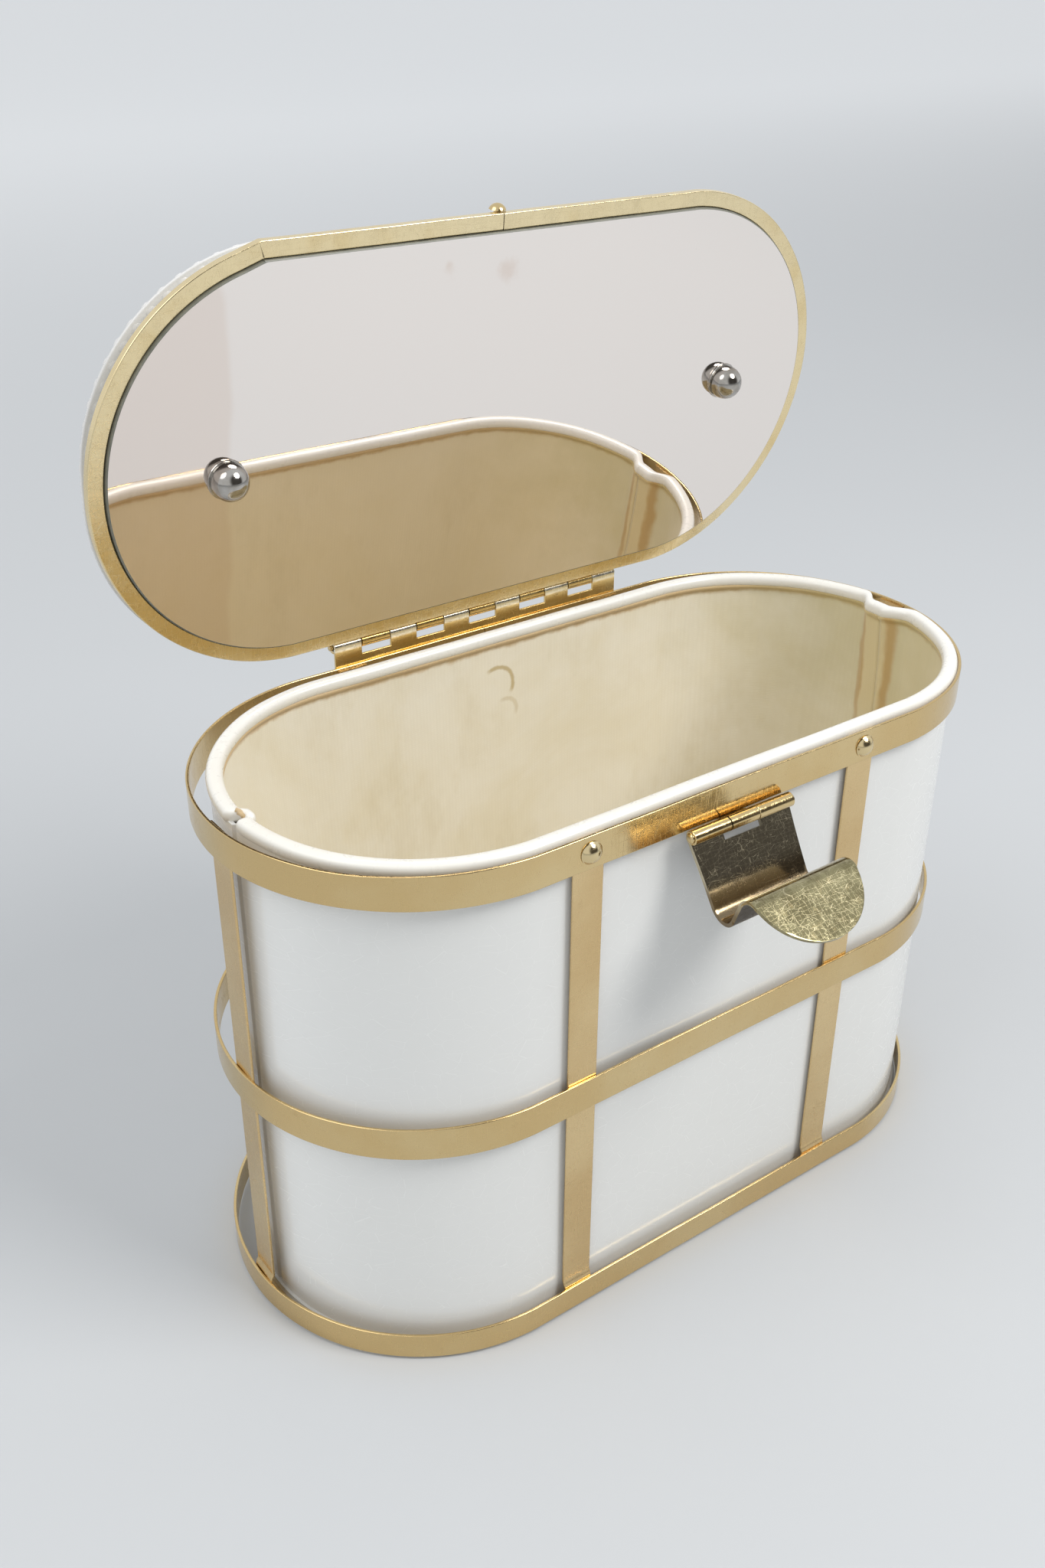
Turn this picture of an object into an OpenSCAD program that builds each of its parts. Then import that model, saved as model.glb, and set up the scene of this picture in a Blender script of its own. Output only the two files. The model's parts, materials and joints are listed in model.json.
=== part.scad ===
// Oval-ended jewellery box: a white two-sheet body standing in a riveted brass band
// cage, with a hinged lid that carries a mirror and a folding handle, and a snap hasp.
// Millimetres, +Z up, +Y to the back. The origin is the middle of the base's underside.
// The model is drawn as it stands open: lid up, hasp down.

/* [Cage] */
// Length over the top band
body_l = 190; // [150:1:230]
// Depth over the top band
body_w = 92; // [80:1:110]
// Height of the top band's upper edge
body_h = 124.5; // [100:0.5:150]
// How round the ends are: 1 is a half circle
end_round = 0.955; // [0.93:0.005:1]
// Sheet thickness of the bands
band_t = 0.7; // [0.5:0.05:0.8]
// Height of the top band
top_band_h = 7.5; // [6:0.1:10]
// Height of the middle band
middle_band_h = 7.6; // [5:0.1:10]
// Lower edge of the middle band
middle_band_z = 57.3; // [40:0.1:80]
// Height of the bottom band
bottom_band_h = 6.4; // [5:0.1:9]
// Width of the upright straps
strap_w = 7.4; // [5:0.1:9]
// Distance between the two straps of one long side
strap_pitch = 74; // [60:1:90]
// Place of the left end strap, front to back from the middle
left_strap_y = -2.2; // [-4:0.1:4]
// Sideways shift of the front straps and the hasp
front_shift = -1.7; // [-3:0.1:3]

/* [White body] */
// Play between cage and body, lengthwise
play_l = 5; // [4:0.1:6]
// Play between cage and body, across
play_w = 5.4; // [5:0.1:6]
// Thickness of the wall sheets
wall_t = 1.5; // [1:0.1:2]
// How far the two sheets lap at each end
wall_lap = 9; // [6:0.5:14]
// Width of the rolled edge
roll_w = 3.5; // [3.3:0.1:4]
// Height of the rolled edge's top above the cage
roll_rise = 1.2; // [0.8:0.1:1.4]

/* [Lid] */
// Angle at which the lid stands open, from shut
lid_open = 83; // [70:1:95]
// Length of the lid
lid_l = 191; // [151:1:231]
// Width of the visible brass frame around the mirror
frame_w = 3.4; // [3:0.1:5]
// Thickness of the mirror glass
mirror_t = 1.5; // [1.2:0.1:1.6]
// Distance of each handle post from the middle
post_x = 66.7; // [55:0.1:72]
// Reach of the folded handle from its pivots
handle_reach = 36; // [30:1:36]

/* [Hasp] */
// Width of the hasp plate
hasp_w = 27; // [22:0.5:30]
// Sheet thickness of the hasp
hasp_t = 0.9; // [0.7:0.05:1]

/* [Hidden] */
$fn = 64;

brass = "#c8a866";
bright_brass = "#b5a06a";
nickel = "#b8b8b8";
white = "#f0f1f0";
cloth = "#d9ceb0";
card = "#8a7a5a";

far = 400;                                 // longer than anything on the box
fit = 0.1;                                 // ease between pieces that lie together
half_w = body_w / 2;
top_band_z = body_h - top_band_h;
rivet_z = top_band_z + top_band_h / 2;
strap_t = 0.6;
strap_reach = 8;                           // how far in from the cage a strap's cutter reaches
foot_t = 0.6;                              // strap foot under the base
foot_l = 12;
pad_inset = foot_l + 4;                    // edge of the base's pad, clear of the feet
bottom_band_out = band_t;                  // the bottom band stands one sheet further out
front_rivet_r = 2.5;
front_rivet_h = 1.6;
hinge_rivet_r = 2;
hinge_rivet_h = 1.1;
rivet_shank_r = 1.18;
rivet_hole_r = 1.2;
rivet_hole_l = 5;

// The white body sits forward and to the right in the cage
wall_l = body_l - play_l;
wall_w = body_w - play_w;
wall_shift = [1, 1.4 + wall_w / 2 - half_w];
seam_y = -3;
seam_gap = 0.2;                            // between the two halves of the wall and the edge
wall_turn = 1.5;                           // length of the back sheet's step at the seam
lap_gap = 0.3;
base_t = 1.8;
base_lining_t = 0.8;
floor_z = foot_t + base_t;
roll_h = 2.4;
roll_top = body_h + roll_rise;
wall_top = roll_top - roll_h;
lining_t = 0.9;
hem_h = 1.6;                               // the lining's doubled hem under the rolled edge
hem_in = roll_w - 0.2;
tuck_l = 2;                                // the back edge's tucked end starts this far back

// Lid hinge
hinge_n = 11;
hinge_l = 82;
hinge_seg = hinge_l / hinge_n;
hinge_gap = 0.15;
knuckle_r = 1.5;
hinge_bore_r = 0.68;
hinge_pin_r = 0.62;
pin_end = 0.5;                             // the pin's length past the end knuckles
leaf_t = 0.7;
leaf_z = top_band_z + 0.4;
notch_under = 1.2;                         // room under the other leaf's knuckles
hinge_y = half_w + knuckle_r;
hinge_z = body_h + 4.5;
hinge_rivet_x = [for (share = [-1, -1 / 3, 1 / 3, 1]) share * strap_pitch / 2];

// Lid levels, with the lid shut
frame_z = hinge_z - 2;                     // underside of the brass frame
frame_t = 1;
frame_lip = 0.8;                           // wall of the frame round the panel
panel_z = frame_z + frame_t;
panel_top = panel_z + 2.8;
lid_w = body_w - 0.6;
mirror_proud = 0.8;
mirror_z = frame_z - mirror_proud;
mirror_inset = frame_w + fit;
backing_top = panel_z + 0.2;
leaf_back = lid_w / 2 - frame_lip;         // back edge of the lid panel
lid_leaf_t = 1;
lid_leaf_z = panel_z + 0.9;
nail_x = [for (share = [-1, -1 / 3, 1 / 3, 1]) share * 33];
nail_z = panel_z + 1.75;
nail_r = 0.78;
nail_hole_r = 0.8;
nail_l = 5.8;
stud_z = panel_z + 1.7;
stud_out = 1;                              // neck's length in front of the panel
stud_in = 1.2;
stud_neck_r = 0.8;
stud_head_r = 1.85;
trim_h = 2.2;
trim_w = 3.6;
trim_gap = hasp_w + 7;                     // opening of the trim over the hasp

// Handle
post_r = 1.6;                              // shank through the lid
post_depth = 2.4;                          // shank's length inside the nut
post_clear = 0.4;                          // round the shank, in the glass and the card
flange_r = 4;
flange_h = 1.2;
neck_r = 2.3;
eye_r = 3.4;
eye_l = 5;
eye_z = panel_top + 5;
eye_bore_r = 1.35;
pivot_r = 1.28;
pivot_end = 1.2;                           // the pivot's length past the eye
wire_r = 2.1;
leg_x = post_x - eye_l / 2 - 0.4 - wire_r;
leg_end_r = wire_r + 0.35;
bend_r = 20;
nut_r = 4.5;
nut_sink = 0.9;                            // the nut's ball is centred this far above the glass

// Hasp, drawn standing out from the front; y and z are counted from its pin
hasp_y = -half_w - 1.9;
hasp_z = top_band_z - 0.5;
hasp_knuckle_r = 1.55;
hasp_bore_r = 0.76;
hasp_pin_r = 0.7;
bracket_w = 7.6;
slot_w = 10.2;
slot_r = 3.8;
valley_c = [-9.9, -11.1];
valley_r = 3.65;
ridge_c = [-17.6, -8.8];
ridge_r = 2.8;
tab_fall = 33;                             // slope of the finger tab
tab_l = 11.6;
bracket_t = 0.7;
bracket_l = bracket_w - 0.3;
bracket_h = 7.6;
hasp_pin_l = hasp_w + 1.2;
root_r = hasp_knuckle_r - hasp_t / 2;      // middle of the sheet where it meets the knuckle

// Angles of the tangents that join knuckle, valley and ridge
plate_a = atan2(valley_c[1], valley_c[0]) + acos((root_r - valley_r) / norm(valley_c));
rise = ridge_c - valley_c;
rise_a = atan2(rise[1], rise[0]) + acos((valley_r + ridge_r) / norm(rise));
tab_a = 90 + tab_fall;

// ---------- outlines ----------

// Radius of an end that is end_round times as deep as a half circle
function end_r(w) = (1 + end_round * end_round) * w / (4 * end_round);

// Long outline with rounded ends, moved inward by inset
module capsule(l, w, inset = 0) {
    r = end_r(w);
    straight_w = w - 2 * inset;
    intersection() {
        union() {
            for (side = [-1, 1]) translate([side * (l / 2 - r), 0]) circle(r - inset, $fn = 180);
            square([l - 2 * r, straight_w], center = true);
        }
        square([far, straight_w], center = true);
    }
}

module ring(l, w, outer, inner) {
    difference() {
        capsule(l, w, outer);
        capsule(l, w, inner);
    }
}

module extruded(z, h) {
    translate([0, 0, z]) linear_extrude(h) children();
}

// Everything in front of, or behind, a line across the box
module in_front_of(y) { translate([-far / 2, y - far]) square([far, far]); }
module behind(y) { translate([-far / 2, y]) square([far, far]); }

// ---------- white body ----------

module body_ring(outer, inner) { translate(wall_shift) ring(wall_l, wall_w, outer, inner); }

// Half ring of the front sheet
module front_half(outer, inner, y = seam_y) {
    difference() {
        body_ring(outer, inner);
        behind(y);
    }
}

// Half ring of the back sheet, behind y = start. There it steps inward, and runs on behind
// the front sheet.
module back_half(outer, inner, start, turn) {
    difference() {
        body_ring(outer, inner);
        in_front_of(start);
    }
    difference() {
        body_ring(outer + wall_t, inner + wall_t);
        in_front_of(seam_y - wall_lap);
        behind(start + turn);
    }
    difference() {
        body_ring(outer, inner + wall_t);
        in_front_of(start);
        behind(start + turn);
    }
}

module base_panel() color(white) {
    extruded(foot_t, base_t) translate(wall_shift) capsule(wall_l, wall_w);
    extruded(0, foot_t) capsule(body_l, body_w, pad_inset);
}

module base_lining() color(cloth)
    extruded(floor_z, base_lining_t)
        translate(wall_shift) capsule(wall_l, wall_w, 2 * wall_t + lining_t + fit);

module front_wall() color(white)
    extruded(floor_z, wall_top - floor_z) front_half(0, wall_t);

module back_wall() color(white)
    extruded(floor_z, wall_top - floor_z) back_half(0, wall_t, seam_y + seam_gap, wall_turn);

module front_lining() color(cloth) {
    end_y = seam_y - wall_lap - lap_gap;
    extruded(floor_z, wall_top - floor_z) front_half(wall_t, wall_t + lining_t, end_y);
    extruded(wall_top - hem_h, hem_h) front_half(wall_t, hem_in, end_y);
}

module back_lining() color(cloth)
    extruded(floor_z, wall_top - floor_z)
        back_half(wall_t, wall_t + lining_t, seam_y + seam_gap + wall_turn, lining_t);

module front_roll() color(white)
    extruded(wall_top, roll_h) front_half(0, roll_w);

module back_roll() color(white)
    extruded(wall_top, roll_h) {
        difference() {
            body_ring(0, roll_w);
            in_front_of(seam_y + seam_gap);
        }
        difference() {
            body_ring(roll_w, roll_w + wall_t);
            in_front_of(seam_y - wall_lap);
            behind(seam_y + tuck_l);
        }
    }

// ---------- brass cage ----------

module band(z, h, out = 0) color(brass)
    extruded(z, h) ring(body_l, body_w, -out, band_t - out);

// Hole through the long side of the cage, side -1 at the front and 1 at the back
module rivet_hole(x, side)
    translate([x, side * (half_w - rivet_hole_l / 2), rivet_z]) rotate([-side * 90, 0, 0])
        cylinder(rivet_hole_l, r = rivet_hole_r);

module bottom_band() band(foot_t + 0.1, bottom_band_h, bottom_band_out);
module middle_band() band(middle_band_z, middle_band_h);
module top_band() color(brass) difference() {
    band(top_band_z, top_band_h);
    for (side = [-1, 1]) rivet_hole(front_shift + side * strap_pitch / 2, -1);
    for (x = hinge_rivet_x) rivet_hole(x, 1);
}

// Upright strap inside the bands. Its foot steps out to the bottom band and turns in under
// the base. spot is a point on the strap and along is the direction of its width.
module strap(spot, along) color(brass) {
    stand = strap_w * along + strap_reach * [along[1], along[0]];
    foot = strap_w * along + (foot_l + strap_reach) * [along[1], along[0]];
    inward = [-sign(spot[0]) * along[1], -sign(spot[1]) * along[0]];
    difference() {
        extruded(0, body_h - 0.3) intersection() {
            ring(body_l, body_w, band_t, band_t + strap_t);
            translate(spot) square(stand, center = true);
        }
        if (along[0] > 0) rivet_hole(spot[0], sign(spot[1]));
    }
    extruded(0, bottom_band_h + 0.6) intersection() {
        ring(body_l, body_w, 0, band_t);
        translate(spot) square(stand, center = true);
    }
    extruded(0, foot_t) intersection() {
        capsule(body_l, body_w, 0);
        translate(spot + inward * foot_l / 2) square(foot, center = true);
    }
}

module front_strap(side) strap([front_shift + side * strap_pitch / 2, -half_w], [1, 0]);
module back_strap(side) strap([side * strap_pitch / 2, half_w], [1, 0]);
module strap_front_left() front_strap(-1);
module strap_front_right() front_strap(1);
module strap_back_left() back_strap(-1);
module strap_back_right() back_strap(1);
module strap_left_end() strap([-body_l / 2, left_strap_y], [0, 1]);
module strap_right_end() strap([body_l / 2, 0], [0, 1]);

// Domed head of radius r and height h on a shank that points back along its axis
module rivet(r, h, shank_r, shank_l) {
    ball_r = (r * r + h * h) / (2 * h);
    intersection() {
        translate([0, 0, h - ball_r]) sphere(ball_r);
        cylinder(h, r = r);
    }
    translate([0, 0, -shank_l]) cylinder(shank_l + fit, r = shank_r);
}

module front_rivets() color(brass)
    for (side = [-1, 1])
        translate([front_shift + side * strap_pitch / 2, -half_w, rivet_z]) rotate([90, 0, 0])
            rivet(front_rivet_r, front_rivet_h, rivet_shank_r, band_t + strap_t);

module hinge_rivets() color(brass)
    for (x = hinge_rivet_x)
        translate([x, half_w + leaf_t, rivet_z]) rotate([-90, 0, 0])
            rivet(hinge_rivet_r, hinge_rivet_h, rivet_shank_r, leaf_t + band_t + strap_t);

// ---------- lid hinge ----------

// Left end of a knuckle's place in the hinge
function seg_x(i) = -hinge_l / 2 + i * hinge_seg;

// Knuckles number first, first + 2 and so on of the hinge
module knuckles(first)
    for (i = [first : 2 : hinge_n - 1])
        translate([seg_x(i) + hinge_gap / 2, hinge_y, hinge_z]) rotate([0, 90, 0])
            cylinder(hinge_seg - hinge_gap, r = knuckle_r);

module hinge_bore()
    translate([-far / 2, hinge_y, hinge_z]) rotate([0, 90, 0]) cylinder(far, r = hinge_bore_r);

module hinge_body_leaf() color(brass) difference() {
    union() {
        difference() {
            translate([-hinge_l / 2, half_w, leaf_z]) cube([hinge_l, leaf_t, hinge_z - leaf_z]);
            for (i = [1 : 2 : hinge_n - 1])
                translate([seg_x(i) - fit, half_w - 1, hinge_z - knuckle_r - notch_under])
                    cube([hinge_seg + 2 * fit, 4, 8]);
        }
        knuckles(0);
    }
    hinge_bore();
    for (x = hinge_rivet_x) rivet_hole(x, 1);
}

module hinge_pin() color(brass)
    translate([-hinge_l / 2 - pin_end, hinge_y, hinge_z]) rotate([0, 90, 0])
        cylinder(hinge_l + 2 * pin_end, r = hinge_pin_r);

// ---------- lid ----------

// Turns the lid's pieces, drawn shut, up to where the lid stands open
module lid_pose()
    translate([0, hinge_y, hinge_z]) rotate([-lid_open, 0, 0]) translate([0, -hinge_y, -hinge_z])
        children();

// Cylinders into the back edge of the lid panel
module nails(depth, length, r)
    for (x = nail_x)
        translate([x, leaf_back - depth, nail_z]) rotate([-90, 0, 0]) cylinder(length, r = r);

module nail_holes() nails(nail_l - lid_leaf_t + seam_gap, far, nail_hole_r);

module hinge_lid_leaf() color(brass) lid_pose() difference() {
    union() {
        translate([-hinge_l / 2, leaf_back, lid_leaf_z])
            cube([hinge_l, lid_leaf_t, panel_top - lid_leaf_z]);
        knuckles(1);
        for (i = [1 : 2 : hinge_n - 1])
            translate([seg_x(i) + hinge_gap / 2, leaf_back, hinge_z + 0.2])
                cube([hinge_seg - hinge_gap, hinge_y - leaf_back - 0.3, knuckle_r - 0.3]);
    }
    hinge_bore();
    nail_holes();
}

module lid_hinge_nails() color(brass) lid_pose() nails(nail_l - lid_leaf_t, nail_l, nail_r);

module lid_rim() color(brass) lid_pose() {
    extruded(frame_z, frame_t) ring(lid_l, lid_w, 0, frame_w);
    extruded(frame_z, frame_t + frame_lip) ring(lid_l, lid_w, 0, frame_lip);
}

module post_holes(clear)
    for (side = [-1, 1])
        translate([side * post_x, 0, frame_z - 5]) cylinder(20, r = post_r + clear);

module stud_neck()
    translate([front_shift, -leaf_back + stud_in, stud_z]) rotate([90, 0, 0])
        cylinder(stud_in + stud_out, r = stud_neck_r);

module lid_panel() color(white) lid_pose() difference() {
    extruded(panel_z, panel_top - panel_z) capsule(lid_l, lid_w, frame_lip);
    extruded(panel_z - 1, backing_top - panel_z + 1) capsule(lid_l, lid_w, mirror_inset);
    post_holes(0.05);
    nail_holes();
    stud_neck();
}

// Outline of the trim: a rounded rectangle whose ends stand a little fuller than the lid's
module trim_outline(inset) {
    corner_r = lid_w / 2 - 3.5;
    cx = lid_l / 2 - 0.6 - corner_r;
    cy = 2.5;
    for (sx = [-1, 1], sy = [-1, 1]) translate([sx * cx, sy * cy]) circle(corner_r - inset, $fn = 180);
    square([2 * (cx + corner_r - inset), 2 * cy], center = true);
    square([2 * cx, 2 * (cy + corner_r - inset)], center = true);
}

module lid_trim() color(white) lid_pose()
    extruded(panel_top, trim_h) difference() {
        trim_outline(0);
        trim_outline(trim_w);
        translate([front_shift - trim_gap / 2, -far]) square([trim_gap, far]);
    }

module mirror_backing() color(card) lid_pose() difference() {
    extruded(mirror_z + mirror_t, backing_top - mirror_z - mirror_t)
        capsule(lid_l, lid_w, mirror_inset + fit);
    post_holes(post_clear);
}

module mirror() color("#d6d2ce") lid_pose() difference() {
    extruded(mirror_z, mirror_t) capsule(lid_l, lid_w, mirror_inset);
    post_holes(post_clear);
}

module mirror_nuts() color(nickel) lid_pose()
    for (side = [-1, 1])
        translate([side * post_x, 0, mirror_z]) rotate([180, 0, 0]) difference() {
            intersection() {
                translate([0, 0, nut_sink]) sphere(nut_r);
                cylinder(2 * nut_r, r = 2 * nut_r);
            }
            translate([0, 0, -1]) cylinder(post_depth + 1.6, r = post_r + 0.05);
        }

module handle_post(side) color(brass) lid_pose() translate([side * post_x, 0, 0]) {
    translate([0, 0, mirror_z - post_depth])
        cylinder(panel_top - mirror_z + post_depth + fit, r = post_r);
    translate([0, 0, panel_top]) cylinder(flange_h, r = flange_r);
    difference() {
        union() {
            translate([0, 0, panel_top + 1]) cylinder(eye_z - panel_top - 1, r = neck_r);
            translate([-eye_l / 2, 0, eye_z]) rotate([0, 90, 0]) cylinder(eye_l, r = eye_r);
        }
        translate([-far / 2, 0, eye_z]) rotate([0, 90, 0]) cylinder(far, r = eye_bore_r);
    }
}
module handle_post_left() handle_post(-1);
module handle_post_right() handle_post(1);

// Bail handle, folded down towards the hinge
module handle() color(brass) lid_pose() translate([0, 0, eye_z]) {
    leg_l = handle_reach - bend_r;
    for (side = [-1, 1]) {
        translate([side * leg_x, 0, 0]) {
            sphere(leg_end_r);
            rotate([-90, 0, 0]) cylinder(leg_l, r = wire_r);
            rotate([0, side * 90, 0]) cylinder(post_x - leg_x + eye_l / 2 + pivot_end, r = pivot_r);
        }
        translate([side * (leg_x - bend_r), leg_l, 0]) rotate([0, 0, side > 0 ? 0 : 90])
            rotate_extrude(angle = 90) translate([bend_r, 0]) circle(wire_r);
    }
    translate([-(leg_x - bend_r), handle_reach, 0]) rotate([0, 90, 0])
        cylinder(2 * (leg_x - bend_r), r = wire_r);
}

// Catch stud in the front edge of the lid panel
module catch_stud() color(brass) lid_pose() {
    stud_neck();
    translate([front_shift, -leaf_back - stud_out, stud_z]) rotate([90, 0, 0])
        rivet(stud_head_r, 1.2, stud_neck_r, stud_out);
}

// ---------- hasp ----------

function polar(r, a) = [r * cos(a), r * sin(a)];
function arc(c, r, a0, a1, n = 14) = [for (i = [0 : n]) c + polar(r, a0 + (a1 - a0) * i / n)];
function reversed(list) = [for (i = [len(list) - 1 : -1 : 0]) list[i]];

// One face of the bent sheet, off from its middle: knuckle, plate, valley, ridge
function sheet_side(off) = concat(
    [polar(root_r - off, plate_a)],
    arc(valley_c, valley_r - off, plate_a, rise_a - 360),
    arc(ridge_c, ridge_r + off, rise_a - 180, tab_a));

// Stands a profile drawn in y and z across the box, w wide, centred on the hasp
module across(w)
    translate([front_shift - w / 2, hasp_y, hasp_z]) rotate([90, 0, 90]) linear_extrude(w) children();

module hasp_barrel(r, w) across(w) circle(r);

module hasp() color(bright_brass) {
    tab_root = ridge_c + polar(ridge_r, tab_a);
    half_t = hasp_t / 2;
    difference() {
        union() {
            across(hasp_w) polygon(concat(sheet_side(half_t), reversed(sheet_side(-half_t))));
            hasp_barrel(hasp_knuckle_r, hasp_w);
        }
        hasp_barrel(hasp_bore_r, far);
        hasp_barrel(slot_r, slot_w);
    }
    difference() {
        for (side = [-1, 1])
            translate([side * (hasp_w + bracket_w) / 4, 0, 0])
                hasp_barrel(hasp_knuckle_r, (hasp_w - bracket_w) / 2);
        hasp_barrel(hasp_bore_r, far);
    }
    translate([front_shift, hasp_y + tab_root[0], hasp_z + tab_root[1]]) rotate([tab_fall, 0, 0])
        intersection() {
            translate([-hasp_w / 2, -tab_l, -half_t]) cube([hasp_w, tab_l + 0.3, hasp_t]);
            translate([0, hasp_w / 2 - tab_l, -5]) cylinder(10, r = hasp_w / 2, $fn = 120);
        }
}

// Middle knuckle of the hasp, with a tail that runs back and up behind the top band
module hasp_bracket() color(brass) difference() {
    tail_y = -half_w + band_t + 0.05 - hasp_y;
    union() {
        hasp_barrel(hasp_knuckle_r, bracket_l);
        across(bracket_l) translate([0, -hasp_knuckle_r]) square([tail_y + strap_t, bracket_t]);
        across(bracket_l) translate([tail_y, -hasp_knuckle_r]) square([strap_t, bracket_h]);
    }
    hasp_barrel(hasp_bore_r, far);
}

module hasp_pin() color(brass) hasp_barrel(hasp_pin_r, hasp_pin_l);

base_panel();
base_lining();
front_wall();
back_wall();
front_lining();
back_lining();
front_roll();
back_roll();
bottom_band();
middle_band();
top_band();
strap_front_left();
strap_front_right();
strap_back_left();
strap_back_right();
strap_left_end();
strap_right_end();
front_rivets();
hinge_body_leaf();
hinge_rivets();
hinge_pin();
hinge_lid_leaf();
lid_hinge_nails();
hasp_bracket();
hasp_pin();
hasp();
lid_rim();
lid_panel();
lid_trim();
mirror_backing();
mirror();
mirror_nuts();
handle_post_left();
handle_post_right();
handle();
catch_stud();
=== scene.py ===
"""Looks of the oval white jewellery box in its brass band cage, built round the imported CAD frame.

Lengths in the builders are millimetres in the CAD frame, and piece() scales them to metres.
Lengths in the materials, which read object coordinates, are metres.
"""

import json
import math

import bpy
import numpy as np
from mathutils import Matrix, Vector


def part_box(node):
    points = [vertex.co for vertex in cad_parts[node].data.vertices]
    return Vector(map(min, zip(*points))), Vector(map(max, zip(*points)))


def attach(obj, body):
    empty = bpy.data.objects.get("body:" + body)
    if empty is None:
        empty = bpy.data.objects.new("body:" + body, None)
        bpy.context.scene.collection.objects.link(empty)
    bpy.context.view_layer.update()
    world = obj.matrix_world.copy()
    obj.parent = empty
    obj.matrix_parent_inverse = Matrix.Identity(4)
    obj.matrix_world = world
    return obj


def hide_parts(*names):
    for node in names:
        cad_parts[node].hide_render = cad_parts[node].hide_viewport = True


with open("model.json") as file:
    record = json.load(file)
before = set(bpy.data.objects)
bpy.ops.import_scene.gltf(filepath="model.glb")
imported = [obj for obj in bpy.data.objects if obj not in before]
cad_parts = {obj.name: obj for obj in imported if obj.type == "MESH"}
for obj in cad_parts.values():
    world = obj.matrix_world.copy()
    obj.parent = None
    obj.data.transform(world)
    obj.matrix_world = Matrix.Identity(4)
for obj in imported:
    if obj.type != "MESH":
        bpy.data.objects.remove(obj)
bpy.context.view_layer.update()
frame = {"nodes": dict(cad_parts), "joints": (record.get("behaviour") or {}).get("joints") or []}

MM = 0.001
END_ROUND = 0.955      # how round the ends are: 1 is a half circle
WALL_T = 1.5
LINING_T = 0.9
ROLL_W = 3.5           # width of the rolled edge
SHEET_T = 0.7          # brass bands and leaves
STRAP_T = 0.6
STRAP_W = 7.4
FRAME_W = 3.4          # width of the brass frame round the mirror
LID_KINK = 5.5         # how far the lid's straight front runs on past its left corner


# ---------- frame helpers ----------

def span(node):
    """Lowest and highest corner of a CAD node in mm."""
    lo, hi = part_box(node)
    return np.array(lo) / MM, np.array(hi) / MM


def middle_x(nodes):
    """Middle of each node, left to right."""
    return [(span(n)[0][0] + span(n)[1][0]) / 2 for n in nodes]


def joint(name):
    return next(j for j in frame["joints"] if j["name"] == name)


lid_joint = joint("lid_hinge")
hasp_joint = joint("hasp_hinge")
HINGE = np.array(lid_joint["pos_m"]) / MM
HASP_PIN = np.array(hasp_joint["pos_m"]) / MM
LID_OPEN = -lid_joint["range_deg"][0]
CAGE_LO, CAGE_HI = span("top_band")
FRONT_SHIFT = HASP_PIN[0]


def lid_matrix():
    """Takes lid pieces from how they lie shut to how they stand open, in metres."""
    pivot = Vector(HINGE * MM)
    turn = Matrix.Rotation(math.radians(LID_OPEN), 4, Vector(lid_joint["axis"]))
    return Matrix.Translation(pivot) @ turn @ Matrix.Translation(-pivot)


LID_POSE = lid_matrix()


# ---------- outlines and sweeps ----------

class Outline:
    """A capsule outline. Its points run from the left end round the front, the right end and the back."""

    def __init__(self, lo, hi, overrun=0.0):
        depth = hi[1] - lo[1]
        r = (1 + END_ROUND ** 2) * depth / (4 * END_ROUND)
        cy = (hi[1] + lo[1]) / 2
        left, right = lo[0] + r, hi[0] - r
        half = math.asin(depth / 2 / r)
        arc = lambda cx, a, b, n: [(cx + r * math.cos(t), cy + r * math.sin(t))
                                   for t in np.linspace(a, b, n)]
        line = lambda a, b, n: [tuple(p) for p in np.linspace(a, b, n)[1:-1]]
        corner = (left + r * math.cos(math.pi + half) - overrun, cy + r * math.sin(math.pi + half))
        front_left = arc(left, math.pi, math.pi + half - 2 * overrun / r, 60)
        if overrun:
            front_left += line(front_left[-1], corner, 12) + [corner]
        right_arc = arc(right, -half, half, 120)
        back_left = arc(left, math.pi - half, math.pi, 60)[:-1]
        points = (front_left + line(corner, right_arc[0], 60) + right_arc
                  + line(right_arc[-1], back_left[0], 60) + back_left)
        self.set(np.array(points))

    def set(self, points):
        self.points = points
        after = np.roll(points, -1, axis=0)
        before = np.roll(points, 1, axis=0)
        tangent = after - before
        tangent /= np.linalg.norm(tangent, axis=1)[:, None]
        self.normals = np.c_[tangent[:, 1], -tangent[:, 0]]
        steps = np.linalg.norm(after - points, axis=1)
        self.s = np.r_[0, np.cumsum(steps)[:-1]]
        self.length = steps.sum()

    def at(self, s):
        """Points and outward normals at distances s along the outline."""
        s = np.mod(s, self.length)
        grid = np.r_[self.s, self.length]
        pick = lambda v: np.c_[[np.interp(s, grid, np.r_[v[:, k], v[0, k]]) for k in (0, 1)]].T
        normals = pick(self.normals)
        return pick(self.points), normals / np.linalg.norm(normals, axis=1)[:, None]

    def stops(self, start, end):
        """Distances from start to end, with the outline's own points between them."""
        own = np.concatenate([self.s + k * self.length for k in (-1, 0, 1, 2)])
        own = own[(own > start + 0.2) & (own < end - 0.2)]
        return np.r_[start, own, end]


def smooth(t):
    """Eases from 0 to 1."""
    t = np.clip(t, 0, 1)
    return t * t * (3 - 2 * t)


def rounded(x0, x1, y0, y1, r, steps=3):
    """Rounded rectangle, anticlockwise, as rows of (out, up)."""
    corners = [(x1 - r, y0 + r, -90), (x1 - r, y1 - r, 0), (x0 + r, y1 - r, 90), (x0 + r, y0 + r, 180)]
    return np.array([(cx + r * math.cos(math.radians(a + 90 * k / steps)),
                      cy + r * math.sin(math.radians(a + 90 * k / steps)))
                     for cx, cy, a in corners for k in range(steps + 1)])


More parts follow.
